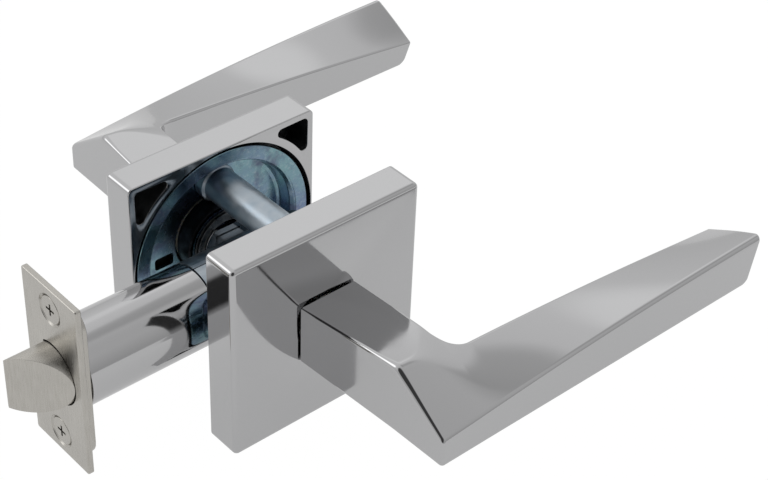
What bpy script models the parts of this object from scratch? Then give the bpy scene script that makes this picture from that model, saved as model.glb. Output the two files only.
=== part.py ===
"""Passage lever handle set for a door: two mirrored lever halves, a square spindle and a tubular latch.

Frame: the origin is where the spindle axis crosses the latch axis, half way through the door.
+X runs from the latch bolt towards the free end of the levers, Y runs along the spindle and +Z is up.
Sizes below are in millimetres; MM turns them into metres.
"""
import math

import bmesh
import bpy
import numpy as np
from mathutils import Matrix, Vector

MM = 0.001

# ---- driving dimensions, mm -------------------------------------------------------------------
DOOR_THICKNESS = 35.0
BACKSET = 69.85              # spindle axis to the outer face of the face plate
GAP = 0.3                    # clearance kept between touching pieces

OVER = 3.0                   # how far a cutter runs past what it cuts

ROSE_SIDE = 65.0
ROSE_DEPTH = 11.2
ROSE_PLATE = 2.2             # thickness of the rose's outer plate
ROSE_WALL = 2.0
ROSE_POCKET_R = 31.9
ROSE_WEB_R = 34.3            # outside of the round web between the pocket and the corner pockets
ROSE_CORNER_FROM = 17.6      # where the corner pockets' boxes start, from the middle
ROSE_EDGE = 1.0
ROSE_HOLE_R = 9.5
ROSE_SCREW_X = 14.0
ROSE_SCREW_R = 1.5

NECK_HALF = 9.7              # half the square neck where it leaves the rose
NECK_RISE_LEFT = 4.5         # how far the neck's top climbs on its closed side
NECK_RISE_RIGHT = 2.4        # and on the side of the grip
NECK_FALL = 1.5              # how far its underside climbs
ARM_INNER = 66.7             # the grip's two upright faces, from the middle of the door
ARM_OUTER = 85.6
ARM_LEFT = -8.4
ARM_TIP = 116.4
CREASE_LEFT_Z = 0.35         # height of the grip's outer top edge at its two ends
CREASE_TIP_Z = 9.5
CREASE_BOW = 1.2
INNER_LEFT_Z = 14.2          # height of its inner top edge at its two ends
INNER_TIP_Z = -0.55
ELBOW_R = 7.5
TIP_CORNER_R = 4.0

SHANK_R = 8.0
SHANK_END = 16.2
SHANK_FLAT = 6.2             # half the width across the shank's two flats
SHANK_FLAT_TOP = 19.8
GROOVE_R = 7.2               # the snap ring's groove
GROOVE_LOW, GROOVE_HIGH = 16.8, 17.7
SPINDLE_SIDE = 8.0
SPINDLE_HALF = 38.0
SOCKET_HALF = SPINDLE_SIDE / 2.0 + GAP
SET_SCREW_AT = 34.5
SET_SCREW_R = 2.5
SET_SCREW_LOW, SET_SCREW_HIGH = -9.2, -SOCKET_HALF

BUSH_BORE_R = SHANK_R + GAP
BUSH_SLEEVE_R, BUSH_COLLAR_R = 9.2, 12.0
BUSH_LOW, BUSH_COLLAR_TOP, BUSH_TOP = 25.0, 26.2, 28.5

CUP_FLANGE_R = 30.7
CUP_WALL_R = 26.4
CUP_BORE_R = 13.0
CUP_SHEET = 1.0
CUP_FLANGE_AT = 17.9
CUP_FLOOR = {"front": 21.3, "rear": 24.2}
CUP_HOLE_R = {"front": 2.9, "rear": 3.4}
CUP_SLOT_IN, CUP_SLOT_OUT = 14.0, 20.5
CUP_SLOT_LOW, CUP_SLOT_HIGH = -5.5, -1.5

CAGE_R = 12.6
CAGE_SHEET = 0.8
CAGE_LIP_R = 8.4
CAGE_LOW, CAGE_TOP = 18.3, 24.7
CAM_R = 11.3
CAM_LOW, CAM_TOP = 18.2, 19.4
CAM_FINGER_TOP = 20.0
SPRING_MEAN_R = 9.9
SPRING_WIRE = 1.0
SPRING_TURNS = 1.75
SPRING_LOW = 20.8
WASHER_LOW, WASHER_TOP = 17.75, 17.95
CLIP_LOW, CLIP_TOP = 16.95, 17.5

POST_SPACING = 38.0
POST_R = 5.25
POST_COLLAR_R = 5.9
POST_COLLAR_LOW = 20.4
POST_SPIGOT_R = 3.0
POST_FREE_END = -13.0
POST_BORE_END = 12.0
BOLT_R = 2.5
BOLT_HEAD_R = 4.5
BOLT_HEAD = 3.1
BOLT_END = -9.2

PLATE_WIDTH = 25.4
PLATE_HEIGHT = 57.15
PLATE_SHEET = 1.8
PLATE_CORNER_R = 0.5
PLATE_RECESS = 0.3           # the face plate's back is stepped to seat the plate behind it
BACK_PLATE_WIDTH = 23.6
BACK_PLATE_HEIGHT = 50.0
BACK_PLATE_CORNER_R = 6.0
PLATE_SCREW_Z = 21.4
PLATE_SCREW_R = 2.0
PLATE_SCREW_LENGTH = 4.2
SINK_R = 4.95
SINK_DEPTH = 1.75
TUBE_R = 12.2
TUBE_SHEET = 1.0
TUBE_END = -24.3
CASE_END = 15.6
CASE_SHEET = 1.1
CASE_HALF_WIDTH = 8.8
CASE_SPLIT = 0.15            # half the gap between the two half cases
SEAT_X = -22.4               # the lugs inside the case that the retractor spring rests on
SEAT_SHEET = 1.4
SEAT_HALF_HEIGHT = 7.1
SEAT_HOLE_R = 4.95

LATCH_BOLT_R = 9.3
LATCH_BOLT_BACK = 4.4        # the flat back of the bolt, on the strike's side
LATCH_BOLT_PLAY = 0.45
LATCH_BOLT_NOSE = 0.4        # width of the flat left on the tip
LATCH_THROW = 12.6
STEM_R = 2.8
STEM_HEAD_R = 4.6
STEM_HEAD_NEAR, STEM_HEAD_FAR = -40.2, -38.4
BOLT_COLLAR_R = 10.9
BOLT_COLLAR = 4.6

FORK_BACK, FORK_FRONT = -44.0, -40.6
FORK_HALF_WIDTH = 3.9
FORK_HALF_HEIGHT = 10.1
STRAP_NEAR = 2.6
STRAP_LOW = 7.4
STRAP_END = 1.6
TAB_START, TAB_END = -2.2, 1.5

HUB_R = 6.9
HUB_HALF = 8.6
HUB_WING_R = 9.1
HUB_WING_TIP_R = 1.4
HUB_WING_HALF = 2.2
HUB_LEAN = 30.0              # degrees that the wings lean towards the bolt at rest

DOOR_FACE = DOOR_THICKNESS / 2.0
ROSE_FACE = DOOR_FACE + ROSE_DEPTH
NECK_START = ROSE_FACE + 0.5
OUTER_X = -BACKSET

COLLECTION = "door_lever_set"


# ---- scene helpers ----------------------------------------------------------------------------
def clear_scene():
    """Remove every object that the file holds."""
    for obj in list(bpy.data.objects):
        bpy.data.objects.remove(obj, do_unlink=True)


def new_collection(name):
    """Make a collection under the scene's own."""
    coll = bpy.data.collections.new(name)
    bpy.context.scene.collection.children.link(coll)
    return coll


def new_material(name, colour, roughness, metallic):
    """Make a Principled material from a linear colour."""
    mat = bpy.data.materials.new(name)
    mat.use_nodes = True
    shader = mat.node_tree.nodes["Principled BSDF"]
    shader.inputs["Base Color"].default_value = (*colour, 1.0)
    shader.inputs["Roughness"].default_value = roughness
    shader.inputs["Metallic"].default_value = metallic
    mat.diffuse_color = (*colour, 1.0)
    return mat


def mesh_object(name, bm, mat, coll=None):
    """Turn a bmesh into an object, smooth but for its sharp edges."""
    mesh = bpy.data.meshes.new(name)
    bm.to_mesh(mesh)
    bm.free()
    mesh.shade_smooth()
    mesh.set_sharp_from_angle(angle=math.radians(30))
    obj = bpy.data.objects.new(name, mesh)
    if mat is not None:
        mesh.materials.append(mat)
    (coll or PARTS).objects.link(obj)
    return obj


def as_cutter(obj):
    """Show an object as a wire tool that is not part of the set."""
    obj.hide_render = True
    obj.display_type = "WIRE"
    return obj


def join(target, tool, operation):
    """Cut or add one object to another, exactly."""
    mod = target.modifiers.new(operation.lower() + "_" + tool.name, "BOOLEAN")
    mod.operation = operation
    mod.object = tool
    mod.solver = "EXACT"


def bevel(obj, width, segments, angle=30.0):
    """Round the sharp edges of an object."""
    mod = obj.modifiers.new("rounded_edges", "BEVEL")
    mod.width = width * MM
    mod.segments = segments
    mod.limit_method = "ANGLE"
    mod.angle_limit = math.radians(angle)


def box(name, low, high, mat=None, cutter=False):
    """A box between two opposite corners, mm, given in either order."""
    low, high = Vector(low), Vector(high)
    size = [abs(high[i] - low[i]) * MM for i in range(3)]
    bm = bmesh.new()
    bmesh.ops.create_cube(bm, size=1.0, matrix=Matrix.Diagonal((*size, 1.0)))
    obj = mesh_object(name, bm, mat, CUTTERS if cutter else None)
    obj.location = (low + high) * 0.5 * MM
    return as_cutter(obj) if cutter else obj


def rod(name, radius, start, end, axis, centre=(0.0, 0.0), mat=None, cutter=False, sides=32, tip=None):
    """A round bar along X, Y or Z from start to end, mm; centre gives its two other coordinates."""
    bm = bmesh.new()
    tip_radius = radius if tip is None else tip
    bmesh.ops.create_cone(bm, cap_ends=True, segments=sides, radius1=radius * MM, radius2=tip_radius * MM,
                          depth=abs(end - start) * MM)
    obj = mesh_object(name, bm, mat, CUTTERS if cutter else None)
    sign = 1.0 if end > start else -1.0
    direction = {"X": Vector((sign, 0, 0)), "Y": Vector((0, sign, 0)), "Z": Vector((0, 0, sign))}[axis]
    obj.rotation_euler = direction.to_track_quat("Z", "Y").to_euler()
    middle = (start + end) / 2.0
    first, second = centre
    place = {"X": (middle, first, second), "Y": (first, middle, second), "Z": (first, second, middle)}[axis]
    obj.location = Vector(place) * MM
    return as_cutter(obj) if cutter else obj


def turned(name, profile, mat=None, cutter=False, steps=48):
    """Spin a closed (radius, height) ring, or an open one that ends on the axis, about local Z, mm."""
    ends_on_axis = profile[0][0] == 0.0
    bm = bmesh.new()
    verts = [bm.verts.new((r * MM, 0.0, z * MM)) for r, z in profile]
    for a, b in zip(verts, verts[1:]):
        bm.edges.new((a, b))
    if not ends_on_axis:
        bm.edges.new((verts[-1], verts[0]))
    obj = mesh_object(name, bm, mat, CUTTERS if cutter else None)
    spin = obj.modifiers.new("spin", "SCREW")
    spin.angle = math.tau
    spin.steps = steps
    spin.render_steps = steps
    spin.use_merge_vertices = True
    spin.merge_threshold = 0.00001
    spin.use_smooth_shade = False
    return as_cutter(obj) if cutter else obj


def ring(inner, outer, low, high):
    """The closed profile of a plain ring, running down its outer side."""
    return [(outer, high), (outer, low), (inner, low), (inner, high)]


def prism(name, outline, low, high, mat=None, cutter=False):
    """A flat outline in local X and Y, carried from local height low to high, mm."""
    curve = bpy.data.curves.new(name + "_outline", "CURVE")
    curve.dimensions = "2D"
    curve.fill_mode = "BOTH"
    curve.extrude = (high - low) / 2.0 * MM
    spline = curve.splines.new("POLY")
    spline.points.add(len(outline) - 1)
    for point, (x, y) in zip(spline.points, outline):
        point.co = (x * MM, y * MM, 0.0, 1.0)
    spline.use_cyclic_u = True
    return meshed_curve(name, curve, mat, cutter, (low + high) / 2.0 * MM)


def meshed_curve(name, curve, mat, cutter, lift=0.0):
    """Turn a curve into a welded mesh object, moved along local Z."""
    guide = bpy.data.objects.new(name + "_guide", curve)
    PARTS.objects.link(guide)
    bpy.context.view_layer.update()
    evaluated = guide.evaluated_get(bpy.context.evaluated_depsgraph_get())
    mesh = bpy.data.meshes.new_from_object(evaluated)
    bpy.data.objects.remove(guide, do_unlink=True)
    bpy.data.curves.remove(curve)
    bm = bmesh.new()
    bm.from_mesh(mesh)
    bpy.data.meshes.remove(mesh)
    bmesh.ops.remove_doubles(bm, verts=bm.verts, dist=0.000001)
    bmesh.ops.translate(bm, verts=bm.verts, vec=(0.0, 0.0, lift))
    bmesh.ops.recalc_face_normals(bm, faces=bm.faces)
    obj = mesh_object(name, bm, mat, CUTTERS if cutter else None)
    return as_cutter(obj) if cutter else obj


def facing(obj, side):
    """Turn local Z to point outwards from the door on one side of it."""
    obj.rotation_euler = (-side * math.pi / 2.0, 0.0, 0.0)
    return obj


def axis_empty(name, place):
    """An empty on a joint's axis, which carries one moving body."""
    empty = bpy.data.objects.new(name, None)
    empty.empty_display_size = 0.01
    empty.location = Vector(place) * MM
    PARTS.objects.link(empty)
    return empty


def hang(empty, *pieces):
    """Parent finished pieces to an empty without moving them."""
    bpy.context.view_layer.update()
    for piece in pieces:
        piece.parent = empty
        piece.matrix_parent_inverse = empty.matrix_world.inverted()


def arc(centre, radius, start, end, steps):
    """Points on an arc, degrees, mm."""
    angles = np.radians(np.linspace(start, end, steps + 1))
    return [(centre[0] + radius * math.cos(a), centre[1] + radius * math.sin(a)) for a in angles]


def rounded_rectangle(width, height, radius, steps=5):
    """The outline of a rectangle with round corners, centred on zero."""
    w, h = width / 2.0 - radius, height / 2.0 - radius
    points = []
    for x, y, start in ((w, h, 0), (-w, h, 90), (-w, -h, 180), (w, -h, 270)):
        points += arc((x, y), radius, start, start + 90, steps)
    return points


# ---- the lever's shape ------------------------------------------------------------------------
def neck_left(out):
    """The lever's closed side leans in a little as it leaves the door."""
    share = (out - NECK_START) / (ARM_OUTER - NECK_START)
    return -NECK_HALF + (ARM_LEFT + NECK_HALF) * share


def neck_top(x, out):
    """The neck's top climbs on both sides, more on the closed one."""
    share = (out - NECK_START) / (ARM_INNER - NECK_START)
    across = min(1.0, (x + NECK_HALF) / (2.0 * NECK_HALF))
    return NECK_HALF + (NECK_RISE_LEFT + (NECK_RISE_RIGHT - NECK_RISE_LEFT) * across) * share


def arm_top(x, out):
    """The grip's top is ruled between its inner edge, which falls, and its outer edge, which climbs."""
    along = (x - ARM_LEFT) / (ARM_TIP - ARM_LEFT)
    inner = INNER_LEFT_Z + (INNER_TIP_Z - INNER_LEFT_Z) * along
    crease = CREASE_LEFT_Z + (CREASE_TIP_Z - CREASE_LEFT_Z) * along
    crease += CREASE_BOW * 4.0 * along * (1.0 - along)
    across = (out - ARM_INNER) / (ARM_OUTER - ARM_INNER)
    return inner + (crease - inner) * across


def lever_top(x, out):
    """The lower of the two tops, which meet on a ridge across the elbow."""
    return min(neck_top(x, out), arm_top(x, out))


def lever_bottom(out):
    """The underside climbs along the neck and is level under the grip."""
    share = min(1.0, (out - NECK_START) / (ARM_INNER - NECK_START))
    return -NECK_HALF + NECK_FALL * share


def lever_stations():
    """Pairs of plan points, inner side and outer side, from the rose round the elbow to the tip."""
    centre = (NECK_HALF + ELBOW_R, ARM_INNER - ELBOW_R)
    stations = []
    for out in np.linspace(NECK_START, centre[1], 5):
        stations.append(((NECK_HALF, out), (neck_left(out), out)))
    outer = [(neck_left(out), out) for out in (62.0, ARM_INNER, 73.0, 79.0, ARM_OUTER)]
    outer += [(x, ARM_OUTER) for x in (-2.0, 5.0, 11.0)]
    inner = arc(centre, ELBOW_R, 180.0, 90.0, len(outer))[1:]
    stations += list(zip(inner, outer))
    for x in np.linspace(centre[0] + 2.0, ARM_TIP - TIP_CORNER_R, 13):
        stations.append(((x, ARM_INNER), (x, ARM_OUTER)))
    return stations


def lever_body(name, side, mat):
    """Loft the lever between its stations: a square neck that turns into a twisted, ruled grip."""
    across = np.linspace(0.0, 1.0, 5)
    rows = []
    for inner, outer in lever_stations():
        inner, outer = np.array(inner), np.array(outer)
        plan = [tuple(inner + (outer - inner) * t) for t in across]
        top = [(x, out, lever_top(x, out)) for x, out in plan]
        under = [(x, out, lever_bottom(out)) for x, out in reversed(plan)]
        rows.append(top + under)
    for drop in np.linspace(30.0, 90.0, 3):
        x = ARM_TIP - TIP_CORNER_R * (1.0 - math.sin(math.radians(drop)))
        lift = TIP_CORNER_R * (1.0 - math.cos(math.radians(drop)))
        plan = [(x, ARM_INNER + (ARM_OUTER - ARM_INNER) * t) for t in across]
        top = [(x, out, lever_top(x, out)) for x, out in plan]
        under = [(x, out, lever_bottom(out) + lift) for x, out in reversed(plan)]
        rows.append(top + under)
    bm = bmesh.new()
    grid = [[bm.verts.new((x * MM, side * (out - ROSE_FACE) * MM, z * MM)) for x, out, z in row]
            for row in rows]
    count = len(grid[0])
    for row, following in zip(grid, grid[1:]):
        for k in range(count):
            n = (k + 1) % count
            bm.faces.new((row[k], row[n], following[n], following[k]))
    for end in (grid[0], grid[-1]):
        for k in range(count // 2 - 1):
            bm.faces.new((end[k], end[k + 1], end[count - 2 - k], end[count - 1 - k]))
    bmesh.ops.triangulate(bm, faces=[f for f in bm.faces if len(f.verts) > 3])
    bmesh.ops.recalc_face_normals(bm, faces=bm.faces)
    obj = mesh_object(name, bm, mat)
    obj.location = (0.0, side * ROSE_FACE * MM, 0.0)
    return obj


def make_lever(label, side, mats):
    """One lever with its round shank, square socket and set screw hole."""
    lever = lever_body(label + "_lever", side, mats["chrome"])
    shank = facing(turned(label + "_shank", [
        (0.0, NECK_START + OVER), (SHANK_R, NECK_START + OVER), (SHANK_R, GROOVE_HIGH),
        (GROOVE_R, GROOVE_HIGH), (GROOVE_R, GROOVE_LOW), (SHANK_R, GROOVE_LOW), (SHANK_R, SHANK_END),
        (0.0, SHANK_END)], cutter=True, steps=32), side)
    for name, edge in (("low", -1.0), ("high", 1.0)):
        flat = box(f"{label}_flat_{name}", (-SHANK_R - OVER, side * (SHANK_END - OVER), edge * SHANK_FLAT),
                   (SHANK_R + OVER, side * SHANK_FLAT_TOP, edge * (SHANK_R + OVER)), cutter=True)
        join(shank, flat, "DIFFERENCE")
    join(lever, shank, "UNION")
    socket = box(label + "_socket", (-SOCKET_HALF, side * (SHANK_END - OVER), -SOCKET_HALF),
                 (SOCKET_HALF, side * (SPINDLE_HALF + 5 * GAP), SOCKET_HALF), cutter=True)
    join(lever, socket, "DIFFERENCE")
    place = (0.0, side * SET_SCREW_AT)
    hole = rod(label + "_screw_hole", SET_SCREW_R + GAP, -NECK_HALF - OVER, 0.0, "Z", place, cutter=True,
               sides=24)
    join(lever, hole, "DIFFERENCE")
    screw = hex_screw(label + "_lever_screw", SET_SCREW_R, place, SET_SCREW_LOW, SET_SCREW_HIGH,
                      mats["steel"])
    return lever, screw


def hex_screw(name, radius, place, outer_z, inner_z, mat):
    """A headless screw along Z with a hexagon socket in its outer (lower) end."""
    screw = rod(name, radius, outer_z, inner_z, "Z", place, mat=mat, sides=24)
    key = radius / 2.0
    socket = rod(name + "_key", key, outer_z - 1.0, outer_z + 2.0 * key, "Z", place, cutter=True, sides=6)
    join(screw, socket, "DIFFERENCE")
    return screw


# ---- one half of the set ----------------------------------------------------------------------
def make_rose(label, side, mats):
    """The square cast rose: a round pocket, four corner pockets and thin walls."""
    half = ROSE_SIDE / 2.0
    outline = rounded_rectangle(ROSE_SIDE, ROSE_SIDE, ROSE_EDGE, 2)
    rose = facing(prism(label + "_rose", outline, DOOR_FACE, ROSE_FACE, mats["chrome"]), side)
    bevel(rose, 0.6, 2, 60.0)
    depth = ROSE_FACE - ROSE_PLATE
    open_side = side * (DOOR_FACE - OVER)
    pocket = rod(label + "_pocket", ROSE_POCKET_R, open_side, side * depth, "Y", cutter=True, sides=64)
    join(rose, pocket, "DIFFERENCE")
    web = rod(label + "_web", ROSE_WEB_R, open_side - side, side * ROSE_FACE, "Y", cutter=True, sides=64)
    near, far = ROSE_CORNER_FROM, half - ROSE_WALL
    for corner, (sx, sz) in enumerate(((1, 1), (-1, 1), (-1, -1), (1, -1))):
        cutter = box(f"{label}_corner_{corner}", (sx * near, open_side, sz * near),
                     (sx * far, side * depth, sz * far), cutter=True)
        join(cutter, web, "DIFFERENCE")
        join(rose, cutter, "DIFFERENCE")
    hole = rod(label + "_rose_hole", ROSE_HOLE_R, side * DOOR_FACE, side * (ROSE_FACE + OVER), "Y",
               cutter=True, sides=40)
    join(rose, hole, "DIFFERENCE")
    return rose


def make_bush(label, side, mats):
    """The nylon bush that the shank turns in."""
    profile = [(BUSH_SLEEVE_R, BUSH_TOP), (BUSH_SLEEVE_R, BUSH_COLLAR_TOP),
               (BUSH_COLLAR_R, BUSH_COLLAR_TOP), (BUSH_COLLAR_R, BUSH_LOW),
               (BUSH_BORE_R, BUSH_LOW), (BUSH_BORE_R, BUSH_TOP)]
    return facing(turned(label + "_bush", profile, mats["nylon"], steps=28), side)


def make_cup(label, side, mats):
    """The pressed steel cup: a flange, a deep wall and a floor with a bore."""
    floor = CUP_FLOOR[label]
    sheet = CUP_SHEET
    profile = [(CUP_FLANGE_R, CUP_FLANGE_AT + sheet), (CUP_FLANGE_R, CUP_FLANGE_AT),
               (CUP_WALL_R, CUP_FLANGE_AT), (CUP_WALL_R - 0.6, CUP_FLANGE_AT + 0.5),
               (CUP_WALL_R - 1.0, floor - 0.6), (CUP_WALL_R - 1.8, floor), (CUP_BORE_R, floor),
               (CUP_BORE_R, floor + sheet), (CUP_WALL_R - 1.0, floor + sheet),
               (CUP_WALL_R, floor + 0.4), (CUP_WALL_R + 0.5, CUP_FLANGE_AT + sheet)]
    cup = facing(turned(label + "_cup", profile, mats["zinc"], steps=48), side)
    for name, edge in (("upper", 1.0), ("lower", -1.0)):
        z = edge * POST_SPACING / 2.0
        hole = rod(f"{label}_cup_hole_{name}", CUP_HOLE_R[label], side * (floor - OVER),
                   side * (floor + OVER), "Y", (0.0, z), cutter=True, sides=24)
        join(cup, hole, "DIFFERENCE")
    for name, edge in (("left", -1.0), ("right", 1.0)):
        slot = box(f"{label}_cup_slot_{name}", (edge * CUP_SLOT_IN, side * (floor - OVER), CUP_SLOT_LOW),
                   (edge * CUP_SLOT_OUT, side * (floor + OVER), CUP_SLOT_HIGH), cutter=True)
        join(cup, slot, "DIFFERENCE")
    return cup


def make_cage(label, side, mats):
    """The black can in the cup's bore that holds the return spring."""
    inner = CAGE_R - CAGE_SHEET
    roof = CAGE_TOP - CAGE_SHEET
    profile = [(CAGE_R, CAGE_TOP), (CAGE_R, CAGE_LOW), (inner, CAGE_LOW), (inner, roof), (CAGE_LIP_R, roof),
               (CAGE_LIP_R, CAGE_TOP)]
    return facing(turned(label + "_spring_cage", profile, mats["black"], steps=32), side)


def make_spring(label, side, mats):
    """The torsion spring round the shank, that lifts the lever back to level."""
    high = CAGE_TOP - CAGE_SHEET - GAP - SPRING_WIRE / 2.0
    points = helix(SPRING_MEAN_R, SPRING_LOW, high, SPRING_TURNS, 12)
    return facing(wire(label + "_return_spring", points, SPRING_WIRE, mats["steel"]), side)


def helix(radius, start, end, turns, points_per_turn):
    """Points on a helix about local Z, mm."""
    count = int(points_per_turn * turns)
    points = []
    for k in range(count + 1):
        angle = math.tau * turns * k / count
        height = start + (end - start) * k / count
        points.append((radius * math.cos(angle), radius * math.sin(angle), height))
    return points


def wire(name, points, diameter, mat):
    """A round wire through a list of points, mm."""
    curve = bpy.data.curves.new(name + "_line", "CURVE")
    curve.dimensions = "3D"
    curve.bevel_depth = diameter / 2.0 * MM
    curve.bevel_resolution = 2
    curve.use_fill_caps = True
    spline = curve.splines.new("POLY")
    spline.points.add(len(points) - 1)
    for point, place in zip(spline.points, points):
        point.co = (*[c * MM for c in place], 1.0)
    return meshed_curve(name, curve, mat, False)


def coil(name, mean_radius, diameter, start, end, turns, mat):
    """A compression spring along X; its wire's centre runs from start to end."""
    points = [(along, across, up) for across, up, along in helix(mean_radius, start, end, turns, 10)]
    return wire(name, points, diameter, mat)


def make_cam_plate(label, side, mats):
    """The plate keyed to the shank's flats, with the finger that winds the spring."""
    plate = rod(label + "_cam_plate", CAM_R, side * CAM_LOW, side * CAM_TOP, "Y", mat=mats["zinc"],
                sides=40)
    hole = rod(label + "_cam_hole", SHANK_R + GAP, side * (CAM_LOW - OVER), side * (CAM_TOP + OVER), "Y",
               cutter=True, sides=32)
    for name, edge in (("low", -1.0), ("high", 1.0)):
        flat = box(f"{label}_cam_flat_{name}",
                   (-CAM_R, side * (CAM_LOW - 2 * OVER), edge * (SHANK_FLAT + GAP)),
                   (CAM_R, side * (CAM_TOP + 2 * OVER), edge * (SHANK_R + OVER)), cutter=True)
        join(hole, flat, "DIFFERENCE")
    join(plate, hole, "DIFFERENCE")
    finger = box(label + "_cam_finger", (SPRING_MEAN_R - SPRING_WIRE, side * (CAM_LOW + GAP), -SPRING_WIRE),
                 (CAM_R - 0.5, side * CAM_FINGER_TOP, SPRING_WIRE), cutter=True)
    join(plate, finger, "UNION")
    return plate


def make_retainers(label, side, mats):
    """The thin washer and the snap ring that hold the lever in the rose."""
    profile = ring(SHANK_R + GAP, CAM_R - 0.7, WASHER_LOW, WASHER_TOP)
    washer = facing(turned(label + "_washer", profile, mats["steel"], steps=28), side)
    outline = arc((0, 0), SHANK_R + 2.0, 30, 330, 24) + arc((0, 0), GROOVE_R + 0.25, 336, 24, 24)
    clip = facing(prism(label + "_snap_ring", outline, CLIP_LOW, CLIP_TOP, mats["steel"]), side)
    return washer, clip


def make_half(label, side, mats):
    """Every piece on one side of the door, the moving ones hung on the lever's axis."""
    lever, screw = make_lever(label, side, mats)
    make_rose(label, side, mats)
    make_bush(label, side, mats)
    make_cup(label, side, mats)
    make_cage(label, side, mats)
    make_spring(label, side, mats)
    plate = make_cam_plate(label, side, mats)
    washer, clip = make_retainers(label, side, mats)
    hang(axis_empty(label + "_lever_axis", (0.0, side * ROSE_FACE, 0.0)), lever, screw, plate, washer, clip)


def make_fixings(mats):
    """The two threaded posts, the two through bolts that enter them, and the rose's small screw."""
    base = CUP_FLOOR["rear"]
    head = CUP_FLOOR["front"] + CUP_SHEET + GAP
    chamfer = 0.6
    for name, edge in (("upper", 1.0), ("lower", -1.0)):
        z = edge * POST_SPACING / 2.0
        post = facing(turned(name + "_post", [
            (0.0, base + CUP_SHEET + chamfer), (POST_SPIGOT_R, base + CUP_SHEET + chamfer),
            (POST_SPIGOT_R, base - GAP), (POST_COLLAR_R - chamfer, base - GAP),
            (POST_COLLAR_R, base - GAP - chamfer), (POST_COLLAR_R, POST_COLLAR_LOW),
            (POST_R, POST_COLLAR_LOW - chamfer), (POST_R, POST_FREE_END + chamfer),
            (POST_R - chamfer, POST_FREE_END), (0.0, POST_FREE_END)], mats["bright_zinc"], steps=24), 1.0)
        post.location = (0.0, 0.0, z * MM)
        bore = rod(name + "_post_bore", BOLT_R + GAP, POST_FREE_END - OVER, POST_BORE_END, "Y", (0.0, z),
                   cutter=True, sides=24)
        join(post, bore, "DIFFERENCE")
        bolt = facing(turned(name + "_through_bolt", [
            (0.0, head + BOLT_HEAD - GAP), (BOLT_HEAD_R - 1.1, head + BOLT_HEAD - GAP),
            (BOLT_HEAD_R - 0.2, head + BOLT_HEAD - 1.0), (BOLT_HEAD_R, head), (BOLT_R, head),
            (BOLT_R, BOLT_END + chamfer), (BOLT_R - chamfer, BOLT_END), (0.0, BOLT_END)],
            mats["bright_zinc"], steps=24), -1.0)
        bolt.location = (0.0, 0.0, z * MM)
        cross_recess(bolt, (0.0, -(head + BOLT_HEAD), z), "Y", 1.5, 2.3, 0.4)
    bottom = -ROSE_SIDE / 2.0
    place = (ROSE_SCREW_X, -(DOOR_FACE + ROSE_DEPTH / 2.0))
    hole = rod("rose_screw_hole", ROSE_SCREW_R + GAP, bottom - OVER, bottom + OVER, "Z", place, cutter=True,
               sides=20)
    join(bpy.data.objects["front_rose"], hole, "DIFFERENCE")
    hex_screw("front_rose_screw", ROSE_SCREW_R, place, bottom + GAP, bottom + 2.6, mats["steel"])


def cross_recess(screw, place, axis, depth, reach, half_width):
    """Cut a cross slot into a screw's head; place is on the head's top, which faces along the axis."""
    for turn, (wide, tall) in (("across", (reach, half_width)), ("along", (half_width, reach))):
        if axis == "X":
            low, high = (place[0] - OVER, -wide, place[2] - tall), (place[0] + depth, wide, place[2] + tall)
        else:
            low, high = (-wide, place[1] - OVER, place[2] - tall), (wide, place[1] + depth, place[2] + tall)
        join(screw, box(f"{screw.name}_recess_{turn}", low, high, cutter=True), "DIFFERENCE")


def make_spindle(mats):
    """The square bar that joins both levers and turns the latch hub."""
    half = SPINDLE_SIDE / 2.0
    spindle = box("spindle", (-half, -SPINDLE_HALF, -half), (half, SPINDLE_HALF, half), mats["bright_zinc"])
    bevel(spindle, 0.6, 1)
    hang(axis_empty("spindle_axis", (0.0, 0.0, 0.0)), spindle)


# ---- the tubular latch ------------------------------------------------------------------------
def latch_section(grow=0.0, steps=28):
    """The bolt's outline seen along X: a circle cut flat on the strike's side, in (Z, Y) order."""
    radius, back = LATCH_BOLT_R + grow, LATCH_BOLT_BACK + grow
    edge = math.degrees(math.asin(back / radius))
    return arc((0.0, 0.0), radius, 180.0 - edge, 360.0 + edge, steps)


def along_x(obj, x=0.0):
    """Turn a prism so that its local Z runs along +X, keeping local Y on world Y."""
    obj.rotation_euler = (0.0, math.pi / 2.0, 0.0)
    obj.location = (x * MM, 0.0, 0.0)
    return obj


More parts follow.
